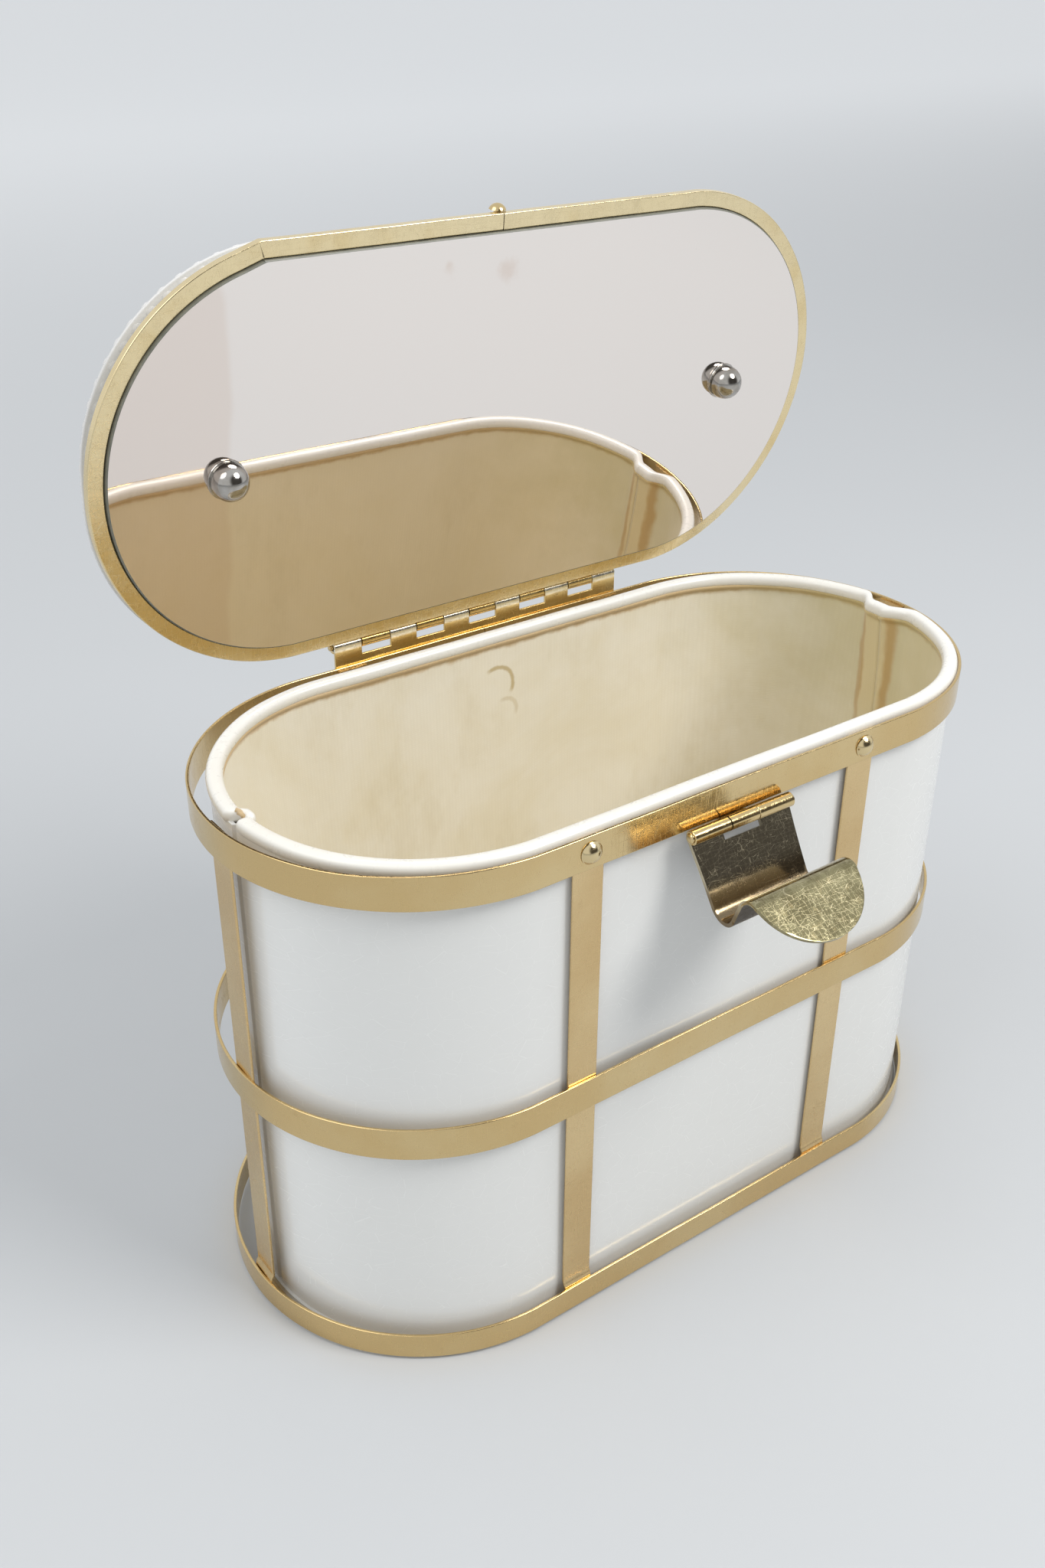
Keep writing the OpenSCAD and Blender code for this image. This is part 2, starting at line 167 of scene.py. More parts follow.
def grid_faces(rows, cols, closed=True):
    """Quads between rows of vertices; closed joins each row's end to its start."""
    faces = []
    for i in range(rows - 1):
        for j in range(cols if closed else cols - 1):
            a, b = i * cols + j, i * cols + (j + 1) % cols
            faces.append((a, b, b + cols, a + cols))
    return faces


def capped(rows, cols):
    """Faces of a closed tube of vertex rows, with both ends filled."""
    ends = [tuple(range(cols)), tuple(range((rows - 1) * cols, rows * cols))[::-1]]
    return grid_faces(rows, cols) + ends


def directions(points):
    """Unit tangent at each point of a line."""
    tangent = np.gradient(points, axis=0)
    return tangent / np.linalg.norm(tangent, axis=1)[:, None]


def sweep(outline, s, profile, open_profile=False):
    """Vertices and faces of a profile run along an outline. profile(k) gives (out, up) rows at stop k."""
    points, normals = outline.at(s)
    rows = []
    for k in range(len(s)):
        p = profile(k) if callable(profile) else profile
        flat = points[k] + p[:, :1] * normals[k]
        rows.append(np.c_[flat, p[:, 1]])
    verts = np.concatenate(rows)
    n, m = len(s), len(rows[0])
    return verts, grid_faces(n, m, closed=False) if open_profile else capped(n, m)


def tube(path, radii, sides=20):
    """Round tube along 3-D points with a radius at each; ends are closed."""
    path = np.asarray(path, float)
    up = np.array([0.0, 0.0, 1.0])
    angles = np.linspace(0, 2 * math.pi, sides, endpoint=False)
    verts = []
    for p, t, r in zip(path, directions(path), radii):
        side = np.cross(t, up)
        side /= np.linalg.norm(side)
        over = np.cross(side, t)
        verts += [p + r * (math.cos(a) * side + math.sin(a) * over) for a in angles]
    return np.array(verts), capped(len(path), sides)


def lathe(profile, origin, axis, sides=40):
    """Solid of revolution. profile holds (radius, height) pairs from one end on the axis to the other."""
    axis = np.array(axis, float) / np.linalg.norm(axis)
    helper = np.array([0, 0, 1.0]) if abs(axis[2]) < 0.9 else np.array([1.0, 0, 0])
    u = np.cross(axis, helper)
    u /= np.linalg.norm(u)
    v = np.cross(axis, u)
    inner = [p for p in profile if p[0] > 1e-6]
    verts = [np.array(origin) + axis * h + r * (math.cos(a) * u + math.sin(a) * v)
             for r, h in inner for a in np.linspace(0, 2 * math.pi, sides, endpoint=False)]
    faces = grid_faces(len(inner), sides)
    first, last = len(verts), len(verts) + 1
    verts += [np.array(origin) + axis * profile[0][1], np.array(origin) + axis * profile[-1][1]]
    base = (len(inner) - 1) * sides
    faces += [(first, (j + 1) % sides, j) for j in range(sides)]
    faces += [(last, base + j, base + (j + 1) % sides) for j in range(sides)]
    return np.array(verts), faces


def join(parts):
    """Several (vertices, faces) as one."""
    verts, faces, offset = [], [], 0
    for v, f in parts:
        verts.append(np.asarray(v, float))
        faces += [tuple(i + offset for i in face) for face in f]
        offset += len(v)
    return np.concatenate(verts), faces


def add_object(name, data):
    obj = bpy.data.objects.new(name, data)
    bpy.context.scene.collection.objects.link(obj)
    return obj


def piece(name, shape, material, body, nodes=(), pose=None, bevel=0.0, sharp=38, solid=0.0,
          weighted=True):
    """Makes a mesh object from mm vertices, in its place, riding on its body and standing for CAD nodes."""
    verts, faces = shape
    mesh = bpy.data.meshes.new(name)
    mesh.from_pydata((np.asarray(verts) * MM).tolist(), [], faces)
    mesh.validate()
    if pose is not None:
        mesh.transform(pose)
    mesh.materials.append(material)
    obj = add_object(name, mesh)
    bpy.context.view_layer.objects.active = obj
    obj.select_set(True)
    bpy.ops.object.mode_set(mode="EDIT")
    bpy.ops.mesh.select_all(action="SELECT")
    bpy.ops.mesh.normals_make_consistent(inside=False)
    bpy.ops.object.mode_set(mode="OBJECT")
    obj.select_set(False)
    mesh.shade_smooth()
    mesh.set_sharp_from_angle(angle=math.radians(sharp))
    if solid:
        m = obj.modifiers.new("thickness", "SOLIDIFY")
        m.thickness, m.offset = solid * MM, 0
    if bevel:
        m = obj.modifiers.new("edges", "BEVEL")
        m.width, m.segments, m.limit_method = bevel * MM, 2, "ANGLE"
        m.angle_limit = math.radians(sharp)
        m.harden_normals = False
    if weighted:
        m = obj.modifiers.new("shading", "WEIGHTED_NORMAL")
        m.keep_sharp = not bevel
    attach(obj, body)
    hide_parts(*nodes)
    return obj


# ---------- materials ----------

class Graph:
    """The nodes of one material, or of the world. Sockets are joined by passing them as values."""

    def __init__(self, name, owner=None, shader="Principled BSDF"):
        self.material = owner or bpy.data.materials.new(name)
        self.material.use_nodes = True
        self.tree = self.material.node_tree
        self.shader = self.tree.nodes[shader]

    def node(self, kind, inputs=None, **settings):
        n = self.tree.nodes.new("ShaderNode" + kind)
        for key, value in settings.items():
            setattr(n, key, value)
        for key, value in (inputs or {}).items():
            self.put(n.inputs[key], value)
        return n

    def put(self, socket, value):
        if isinstance(value, bpy.types.NodeSocket):
            self.tree.links.new(value, socket)
        elif isinstance(value, (tuple, list)) and len(value) == 3 and socket.type == "RGBA":
            socket.default_value = (*value, 1)
        else:
            socket.default_value = value

    def set(self, **values):
        for key, value in values.items():
            self.put(self.shader.inputs[key.replace("_", " ")], value)

    def place(self, offset=(0, 0, 0), scale=(1, 1, 1), turn=(0, 0, 0)):
        where = self.node("TexCoord").outputs["Object"]
        return self.node("Mapping", {"Vector": where, "Location": offset, "Scale": scale,
                                     "Rotation": turn}).outputs["Vector"]

    def noise(self, where, scale, detail=4.0, rough=0.55, warp=0.0):
        return self.node("TexNoise", {"Vector": where, "Scale": scale, "Detail": detail,
                                      "Roughness": rough, "Distortion": warp}).outputs["Fac"]

    def cells(self, where, scale):
        cell = self.node("TexVoronoi", {"Vector": where, "Scale": scale}, feature="DISTANCE_TO_EDGE")
        return cell.outputs["Distance"]

    def remap(self, value, a, b, c=0.0, d=1.0):
        inputs = {"Value": value, "From Min": a, "From Max": b, "To Min": c, "To Max": d}
        return self.node("MapRange", inputs, interpolation_type="SMOOTHSTEP").outputs["Result"]

    def arith(self, operation, a, b=0.0):
        n = self.node("Math", operation=operation)
        self.put(n.inputs[0], a)
        self.put(n.inputs[1], b)
        return n.outputs[0]

    def times(self, a, b):
        return self.arith("MULTIPLY", a, b)

    def plus(self, a, b):
        return self.arith("ADD", a, b)

    def minus(self, a, b):
        return self.arith("SUBTRACT", a, b)

    def mix(self, amount, a, b):
        n = self.node("Mix", data_type="RGBA")
        self.put(n.inputs[0], amount)
        self.put(n.inputs[6], a)
        self.put(n.inputs[7], b)
        return n.outputs[2]

    def over(self, color, mask, amount, top):
        """Lays a colour over another where the mask is."""
        return self.mix(self.times(mask, amount), color, top)

    def axis(self, where, k):
        return self.node("SeparateXYZ", {"Vector": where}).outputs[k]

    def gap(self, where, point):
        """Distance from a fixed point."""
        return self.node("VectorMath", {0: where, 1: tuple(point)}, operation="DISTANCE").outputs["Value"]

    def bump(self, height, strength, distance, normal=None):
        inputs = {"Height": height, "Strength": strength, "Distance": distance}
        if normal is not None:
            inputs["Normal"] = normal
        return self.node("Bump", inputs).outputs["Normal"]


def brass(name, tone, pale, stain, rough, seed, wear, pits, high=None):
    """Gilt brass: tone drifts to a paler worn one, with stains, fine scratches and pits.

    high holds two heights and a colour. Going up from one height to the other, the brass is painted
    patchily towards that colour: painted light on its upper parts.
    """
    g = Graph(name)
    where = g.place((seed, seed * 0.7, -seed))
    drift = g.remap(g.noise(where, 28, 5), 0.38, 0.66)
    fine = g.noise(where, 420, 5, 0.65)
    color = g.mix(drift, tone, pale)
    smudge = g.remap(g.plus(g.noise(where, 95, 6, 0.7), g.times(fine, 0.25)), 0.74, 0.9)
    color = g.over(color, smudge, wear, stain)
    if high:
        # painted light: going up, the colour is laid on patchily, paler where upper faces catch light
        low_z, high_z, painted_light_tone = high
        patchy = g.remap(g.noise(where, 110, 2), 0.3, 0.5, 0.55, 0.85)
        color = g.over(color, g.remap(g.axis(g.place(), 2), low_z, high_z), patchy, painted_light_tone)
    speck = g.remap(g.noise(where, 1500, 2), 0.7, 0.78)
    color = g.over(color, speck, pits, stain)
    along = g.cells(g.place((seed, 0, 0), (900, 900, 70), (0.2, 0.1, 0.4)), 1.0)
    across = g.cells(g.place((0, seed, 0), (60, 500, 700), (0.5, 0.9, 0.1)), 1.0)
    scratch = g.arith("MAXIMUM", g.remap(along, 0.03, 0.0), g.remap(across, 0.02, 0.0))
    roughness = g.remap(fine, 0.3, 0.7, rough * 0.75, rough * 1.35)
    roughness = g.plus(roughness, g.times(scratch, 0.12))
    roughness = g.plus(roughness, g.times(smudge, 0.12))
    wave = g.bump(g.noise(where, 40, 1), 0.12, 0.001)
    grain = g.bump(g.minus(fine, g.times(scratch, 0.6)), 0.12, 0.00004, wave)
    g.set(Base_Color=color, Metallic=1.0, Roughness=roughness, Normal=grain)
    return g.material


def white_plastic(name, color, warm, rough, seed, wave):
    """Glossy white sheet that drifts to a warm tone, with faint grime, scuffs and long waves."""
    g = Graph(name)
    where = g.place((seed, -seed, seed))
    cloud = g.remap(g.noise(where, 16, 5), 0.35, 0.75)
    grime = g.remap(g.noise(where, 150, 6, 0.7), 0.62, 0.85)
    tint = g.mix(g.times(cloud, 0.35), color, warm)
    tint = g.over(tint, grime, 0.12, (0.42, 0.37, 0.29))
    fine = g.noise(where, 600, 4)
    scuff = g.remap(g.cells(g.place((seed, 0, 0), (260, 40, 330), (0.3, 0.2, 0.6)), 1.0), 0.02, 0.0)
    roughness = g.remap(fine, 0.3, 0.7, rough * 0.85, rough * 1.2)
    roughness = g.plus(roughness, g.times(scuff, 0.1))
    swell = g.bump(g.noise(where, 9, 0), wave, 0.0008)
    normal = g.bump(fine, 0.02, 0.00001, swell)
    g.set(Base_Color=tint, Roughness=roughness, Normal=normal, Coat_Weight=0.25, Coat_Roughness=0.12)
    return g.material


def drip_marks(g, where, spot, color):
    """Two small curved brown marks on the middle of the back lining."""
    ragged = g.times(g.noise(where, 700, 3), 0.0006)
    for centre, radius, strength in ((DRIP, 0.005, 0.7), (DRIP + Vector((0.0025, 0, -0.0075)), 0.0035, 0.3)):
        ring = g.arith("ABSOLUTE", g.minus(g.plus(g.gap(spot, centre), ragged), radius))
        part = g.remap(g.plus(g.axis(spot, 2), g.axis(spot, 0)),
                       centre[2] + centre[0] + 0.0005, centre[2] + centre[0] + 0.003)
        mark = g.times(g.remap(ring, 0.0008, 0.0002), part)
        color = g.over(color, mark, strength, (0.50, 0.36, 0.12))
    return color


def seam_marks(g, where, spot, height, seam, color):
    """Age on the right seam: an olive bloom round it, a gold strip down it and brown streaks beside that."""
    reach = g.gap(spot, seam)
    wander = g.times(g.noise(where, 90, 4), 0.03)
    olive = g.remap(g.plus(reach, wander), 0.075, 0.02)
    color = g.over(color, olive, 0.6, (0.52, 0.45, 0.19))
    wander = g.times(g.minus(g.noise(where, 90, 3), 0.5), 0.004)
    aside = g.arith("ABSOLUTE", g.plus(g.minus(g.axis(spot, 1), seam[1]), wander))
    near_top = g.remap(height, seam[2] - 0.042, seam[2] - 0.018)
    right_end = g.times(g.remap(g.axis(spot, 0), 0.06, 0.075), near_top)
    gold = g.times(g.remap(aside, 0.006, 0.0035), right_end)
    color = g.over(color, gold, 0.6, (0.74, 0.60, 0.33))
    beside = g.arith("ABSOLUTE", g.minus(aside, 0.0045))
    streak = g.times(g.remap(beside, 0.0019, 0.0004), right_end)
    return g.over(color, streak, 0.7, (0.50, 0.30, 0.09))


def lining_cloth(name, seed, top_z, seam):
    """Beige satin-weave cloth: mottled with age, painted darker at the front as painted shade, tan at its
    glued upper hem, stained at the right seam.
    """
    g = Graph(name)
    where = g.place((seed, seed, 0))
    spot = g.place()
    mottle = g.remap(g.noise(where, 30, 6, 0.6, 0.6), 0.32, 0.72)
    color = g.mix(mottle, (0.93, 0.89, 0.775), (0.87, 0.81, 0.65))
    # painted shade: the front lining and the front of the base, in the front wall's shadow, are painted a
    # darker tan
    front = g.remap(g.axis(spot, 1), 0.012, -0.035)
    color = g.over(color, front, 0.6, (0.80, 0.68, 0.42))
    blotch = g.remap(g.noise(g.place((seed, 0, 0), (1, 1, 0.45)), 62, 5, 0.65), 0.52, 0.72)
    color = g.over(color, blotch, 0.22, (0.66, 0.56, 0.34))
    height = g.axis(spot, 2)
    ragged = g.times(g.noise(where, 240, 4), 0.0022)
    hem = g.remap(g.plus(height, ragged), top_z - 0.0016, top_z - 0.0002)
    color = g.over(color, hem, 0.85, (0.56, 0.38, 0.17))
    color = seam_marks(g, where, spot, height, seam, color)
    color = drip_marks(g, where, spot, color)
    warp = g.node("TexWave", {"Vector": g.place((0, 0, 0), (1, 1, 0.02)), "Scale": 700.0, "Distortion": 1.2},
                  bands_direction="DIAGONAL").outputs["Fac"]
    weft = g.node("TexWave", {"Vector": spot, "Scale": 620.0, "Distortion": 1.0},
                  bands_direction="Z").outputs["Fac"]
    weave = g.times(warp, weft)
    crease = g.bump(g.noise(g.place((seed, 0, 0), (1, 1, 0.25)), 70, 4), 0.4, 0.0015)
    normal = g.bump(weave, 0.12, 0.00008, crease)
    color = g.mix(g.remap(weave, 0.2, 0.9, 0.06, 0.0), color, (0.45, 0.36, 0.2))
    g.set(Base_Color=color, Roughness=0.62, Normal=normal, Sheen_Weight=0.35, Sheen_Roughness=0.4)
    return g.material


def mirror_silver(name, lid_z):
    """Old silvered glass: warm grey, with pinkish worn places towards its edges and a few black spots.

    Each worn place is given by its x, its height above the hinge and its reach.
    """
    worn_places = ((0.094, 0.074, 0.0105), (0.1, 0.067, 0.009), (-0.0155, 0.0835, 0.0075),
                   (-0.001, 0.081, 0.0085))
    g = Graph(name)
    where = g.place()
    flow = g.place((0.3, 0, 0), (1, 1, 0.8))
    x = g.axis(where, 0)
    left = g.remap(g.plus(x, g.times(g.noise(flow, 24, 3), 0.012)), -0.0605, -0.0625)
    ragged = g.times(g.noise(flow, 150, 4), 0.009)
    worn = g.times(left, 0.6)
    for x_at, up, reach in worn_places:
        flat = g.node("Mapping", {"Vector": where, "Scale": (1, 0, 1)}).outputs["Vector"]
        off = g.gap(flat, (x_at, 0, lid_z + up))
        smudge = g.remap(g.plus(off, ragged), reach, reach - 0.0025)
        worn = g.arith("MAXIMUM", worn, g.times(smudge, 0.75))
    spot = g.remap(g.noise(where, 260, 3), 0.77, 0.8)
    color = g.mix(worn, (0.89, 0.83, 0.785), (0.80, 0.69, 0.62))
    color = g.over(color, spot, 0.6, (0.25, 0.2, 0.15))
    haze = g.remap(g.noise(where, 50, 4), 0.4, 0.8, 0.01, 0.03)
    rough = g.plus(haze, g.times(worn, 0.02))
    g.set(Base_Color=color, Metallic=1.0, Roughness=rough)
    return g.material


def nickel_plate(name):
    """Slightly dulled nickel."""
    g = Graph(name)
    where = g.place()
    color = g.mix(g.remap(g.noise(where, 300, 4), 0.35, 0.75), (0.5, 0.48, 0.45), (0.36, 0.33, 0.29))
    g.set(Base_Color=color, Metallic=1.0, Roughness=g.remap(g.noise(where, 900, 3), 0.3, 0.7, 0.06, 0.16))
    return g.material


def hasp_brass(name):
    """Sheet brass gone patchy: an olive tab, a greyer plate, grime with painted shade in the valley and fine
    scratches.
    """
    g = Graph(name)
    where = g.place((0.4, 0.1, 0.2))
    patch = g.remap(g.noise(where, 210, 6, 0.65, 0.6), 0.38, 0.66)
    color = g.mix(patch, (0.24, 0.21, 0.11), (0.40, 0.36, 0.205))
    near = g.remap(g.axis(g.place(), 1), -0.0665, -0.0625)
    color = g.over(color, near, 0.62, (0.72, 0.64, 0.50))
    stain = g.remap(g.noise(where, 480, 5, 0.7), 0.52, 0.7)
    color = g.over(color, stain, 0.4, (0.15, 0.11, 0.06))
    a = g.cells(g.place((0, 0, 0), (200, 1100, 1100), (0.4, 0.2, 0.7)), 1.0)
    b = g.cells(g.place((0.1, 0, 0), (1100, 180, 300), (0.1, 0.5, 0.3)), 1.0)
    scratch = g.arith("MAXIMUM", g.remap(a, 0.022, 0.0), g.remap(b, 0.018, 0.0))
    color = g.over(color, scratch, 0.35, (0.8, 0.72, 0.5))
    # grime and painted shade: the low inner part of the valley, a recess, is darkened
    grime = g.times(g.remap(g.axis(g.place(), 2), 0.109, 0.105),
                   g.remap(g.axis(g.place(), 1), -0.0645, -0.062))
    color = g.over(color, grime, 0.8, (0.17, 0.11, 0.05))
    rough = g.plus(g.remap(stain, 0, 1, 0.12, 0.24), g.times(scratch, 0.15))
    dent = g.bump(g.noise(where, 90, 2), 0.1, 0.0008)
    normal = g.bump(g.minus(stain, g.times(scratch, 0.6)), 0.1, 0.000015, dent)
    g.set(Base_Color=color, Metallic=1.0, Roughness=rough, Normal=normal)
    return g.material


def mottled(name, scale, detail, dark, light, rough):
    """Plain surface speckled between two tones."""
    g = Graph(name)
    g.set(Base_Color=g.mix(g.noise(g.place(), scale, detail), dark, light), Roughness=rough)
    return g.material


RIM_TOP_Z = span("front_wall")[1][2] * MM
SEAM = Vector((0.0835, -0.001, RIM_TOP_Z - 0.004))     # top of the right seam, inside
DRIP = Vector((-0.0005, 0.0394, 0.1115))               # the upper brown mark on the back lining
PIN_Z = HINGE[2] * MM
STAIN = (0.24, 0.13, 0.05)
HINGE_TONES = ((0.72, 0.49, 0.17), (0.80, 0.62, 0.30), STAIN)

M_BAND = brass("cage_brass", (0.67, 0.49, 0.235), (0.72, 0.56, 0.30), STAIN, 0.15, 0.31, 0.12, 0.15)
M_STRAP = brass("strap_brass", (0.67, 0.48, 0.24), (0.75, 0.57, 0.31), STAIN, 0.18, 0.77, 0.15, 0.15)
# painted light: the lid frame is painted paler and more golden going up from the hinge
M_RIM = brass("lid_rim_brass", (0.74, 0.55, 0.25), (0.85, 0.72, 0.46), STAIN, 0.22, 1.3, 0.25, 0.2,
              high=(PIN_Z + 0.002, PIN_Z + 0.045, (0.88, 0.74, 0.46)))
M_HINGE = brass("hinge_brass", *HINGE_TONES, 0.18, 3.3, 0.4, 0.3)
# painted highlight: the knuckles' tops, above the pin's middle, are painted near white
M_KNUCKLE = brass("knuckle_brass", *HINGE_TONES, 0.18, 3.3, 0.4, 0.3,
                  high=(PIN_Z - 0.0012, PIN_Z - 0.0004, (0.98, 0.95, 0.82)))
M_FITTING = brass("fitting_brass", (0.68, 0.51, 0.25), (0.76, 0.63, 0.38), STAIN, 0.1, 2.1, 0.3, 0.2)
M_HASP = hasp_brass("hasp_brass")
# painted shade: the back of the hasp sheet is painted almost black, so the band beside it reflects a dark
# patch
HASP_BACK_SHADE_STAIN = (0.03, 0.02, 0.01)
M_HASP_BACK_SHADE = brass("hasp_back_painted_shade", (0.055, 0.04, 0.022), (0.11, 0.08, 0.04), HASP_BACK_SHADE_STAIN, 0.3, 4.1, 0.4, 0.3)
M_WHITE = white_plastic("white_sheet", (0.81, 0.812, 0.79), (0.80, 0.80, 0.765), 0.2, 0.5, 0.12)
M_BOARD = white_plastic("white_board", (0.76, 0.77, 0.77), (0.7, 0.68, 0.62), 0.5, 0.9, 0.1)
M_ROLL = white_plastic("white_binding", (0.84, 0.83, 0.79), (0.80, 0.74, 0.60), 0.3, 1.7, 0.15)
M_TRIM = white_plastic("pearl_trim", (0.74, 0.74, 0.73), (0.7, 0.64, 0.57), 0.28, 2.4, 0.1)
M_CLOTH = lining_cloth("lining_cloth", 0.2, RIM_TOP_Z, SEAM)
M_MIRROR = mirror_silver("mirror_glass", PIN_Z)
M_NICKEL = nickel_plate("nickel")
M_CARD = mottled("backing_card", 500, 5, (0.24, 0.17, 0.09), (0.34, 0.26, 0.16), 0.9)
# The glass's edge: its own greenish tone, also painted dark as painted shade for the line between frame and
# mirror
M_GLASS_EDGE_SHADE = mottled("glass_edge_painted_shade", 400, 4, (0.10, 0.11, 0.09), (0.26, 0.25, 0.20), 0.4)


# ---------- white body ----------

wall_lo, wall_hi = span("front_wall")
wall_hi[1] = span("back_wall")[1][1]
WALL = Outline(wall_lo, wall_hi)
HALF = WALL.length / 2
FLOOR_Z, WALL_TOP = wall_lo[2], wall_hi[2]
ROLL_TOP = span("front_roll")[1][2]
ROLL_END = 1.6                   # length of the rolled edge's rounded end
TUCK = 3.0                       # the back edge's end runs on this far inside the front edge
SEAM_S = 1.8                     # seam's distance in front of each end's middle
WALL_LAP = 9.0                   # the back sheet runs on this far inside the front one
LINING_LAP = 1.6                 # and its lining this far past it
STEP_S = WALL.length + 0.1       # where the back sheet steps inside the front one
WALL_GAP = 0.6                   # sheet stands back this far from its CAD outline, off the straps


def jog(s):
    """How far the edge dips inward at the right-hand seam."""
    d = s - HALF
    return 4.0 * smooth((8.0 - d) / 5.0) * smooth((d + 9.2) / 7.0)


def ripple(s, seed, size):
    """Small unevenness of hand-bent work, along an outline."""
    return size * (np.sin(s / 9.1 + seed) + 0.6 * np.sin(s / 3.7 + 2.2 * seed) + 0.4 * np.sin(s / 21 + seed))


def wall(start, end, tuck=0.0):
    """White sheet: height rows let it bow slightly and follow the jog near its top.

    With a tuck of 1 it steps inside the other sheet at the left seam.
    """
    s = WALL.stops(start, end)
    heights = np.linspace(FLOOR_Z, WALL_TOP, 14)
    shift = -jog(s) * 0.9

    def profile(k):
        fade = smooth((heights - WALL_TOP + 14) / 14)
        rise = (heights - FLOOR_Z) / (WALL_TOP - FLOOR_Z)
        bow = 0.12 * np.sin(s[k] / 23 + heights / 31) * np.sin(math.pi * rise)
        step = -tuck * (WALL_T + 0.15) * smooth((s[k] - STEP_S) / 1.5)
        outer = shift[k] * fade + bow + step - WALL_GAP
        return np.concatenate([np.c_[outer, heights], np.c_[outer - WALL_T + WALL_GAP + 0.1, heights][::-1]])

    return sweep(WALL, s, profile)


front_sheet = wall(SEAM_S, HALF - SEAM_S)
back_sheet = wall(HALF - SEAM_S + 0.2, WALL.length + SEAM_S + WALL_LAP, 1.0)
piece("wall_front", front_sheet, M_WHITE, "box", ["front_wall"])
piece("wall_back", back_sheet, M_WHITE, "box", ["back_wall"])


def bead_section(width, height, top, power=2.5, sides=22):
    """Section of the soft rolled edge: a squarish oval, outer side at 0 and inner side at -width."""
    a = np.linspace(0, 2 * math.pi, sides, endpoint=False)
    shape = lambda v: np.sign(v) * np.abs(v) ** (2 / power)
    return np.c_[-width / 2 + width / 2 * shape(np.cos(a)), top - height / 2 + height / 2 * shape(np.sin(a))]


def rolled_edge(start, end, seed, tuck_end=0.0):
    """Soft white edge with one rounded end. With a tuck_end of 1 that is its far end, pushed inside."""
    near_end = np.linspace(0, ROLL_END, 9)
    s = np.unique(np.round(np.r_[WALL.stops(start, end), start + near_end, end - near_end], 4))
    tall = ROLL_TOP - WALL_TOP + 0.7

    def profile(k):
        tucked = tuck_end * smooth((s[k] - (end - TUCK - 2.2)) / 2.2)
        width = ROLL_W - 1.3 * tucked + ripple(s[k], seed, 0.03)
        p = bead_section(width, tall - 0.3 * tucked, ROLL_TOP - 0.05 + ripple(s[k], seed + 1, 0.025))
        ends = min(end - s[k] if tuck_end else s[k] - start, ROLL_END) / ROLL_END
        close = math.sqrt(max(1 - (1 - ends) ** 2, 0.02))
        middle = p.mean(axis=0)
        p = middle + (p - middle) * close
        p[:, 0] -= jog(s[k]) + 2.7 * tucked + ripple(s[k], seed + 2, 0.05)
        return p

    return sweep(WALL, s, profile)


front_edge = rolled_edge(SEAM_S, HALF - SEAM_S + 0.3, 0.4)
back_edge = rolled_edge(HALF - SEAM_S, WALL.length + SEAM_S + TUCK - ROLL_END, 2.2, tuck_end=1.0)
for name, edge in (("front", front_edge), ("back", back_edge)):
    piece("rolled_edge_" + name, edge, M_ROLL, "box", [name + "_roll"], sharp=60,
          weighted=False)


# ---------- cloth lining ----------

def lining(start, end, seed, stepped):
    """Open sheet of cloth against the wall's inner face, its hem turned in under the rolled edge.

    A stepped one stands further in where the back sheet does.
    """
    s = WALL.stops(start, end)
    top = WALL_TOP + 0.1
    heights = np.r_[np.linspace(FLOOR_Z + 0.9, top - 4, 26), np.linspace(top - 3.4, top, 8)]
    rng = np.random.default_rng(seed)
    waves = [(rng.uniform(0.03, 0.25), rng.uniform(-0.03, 0.03), rng.uniform(0, 6), rng.uniform(0.02, 0.06))
             for _ in range(9)]

    def profile(k):
        inset = WALL_T + LINING_T + 0.05
        if stepped:
            inset = inset + WALL_T * smooth((s[k] - STEP_S + 0.8) / 2)
        puff = sum(a * np.sin(f * s[k] + g * heights + p) for f, g, p, a in waves)
        below = top - heights
        fold = jog(s[k]) * (0.45 + 0.55 * np.exp(-below / 16)) * smooth((heights - FLOOR_Z) / 60)
        hem = 0.75 * smooth((1.7 - below) / 0.9)
        tuck = 1.1 * smooth((0.35 - below) / 0.35)
        return np.c_[-(inset + puff + fold + hem - tuck), heights]

    return sweep(WALL, s, profile, open_profile=True)


def cloth(name, shape, nodes):
    """Piece of lining, made 0.35 mm thick."""
    obj = piece(name, shape, M_CLOTH, "box", nodes, weighted=False, sharp=80, solid=0.35)


front_run = (SEAM_S + WALL_LAP + 1, HALF - SEAM_S)      # starts just past the back sheet's lapped end
back_run = (HALF - SEAM_S, WALL.length + SEAM_S + WALL_LAP + LINING_LAP)
cloth("lining_front", lining(*front_run, 3, False), ["front_lining"])
cloth("lining_back", lining(*back_run, 5, True), ["back_lining"])


def disc(outline, inset, z_edge, rings=9, rise=0.25):
    """Flat sheet inside an outline, with a slight lift at its edge."""
    points, normals = outline.at(outline.s)
    edge = points - inset * normals
    middle = edge.mean(axis=0)
    rows = []
    for k in range(rings):
        flat = middle + (edge - middle) * (1 - 0.92 * k / (rings - 1))
        wave = 0.12 * np.sin(flat[:, 0] / 11) * np.cos(flat[:, 1] / 9)
        rows.append(np.c_[flat, z_edge + rise * (k == 0) + wave * (k > 0)])
    n = len(edge)
    faces = grid_faces(rings, n)
    faces.append(tuple(range((rings - 1) * n, rings * n)))
    return np.concatenate(rows), faces


base_lo, base_hi = span("base_lining")
cloth("lining_base", disc(WALL, 2 * WALL_T + LINING_T + 0.4, base_hi[2] - 0.3), ["base_lining"])


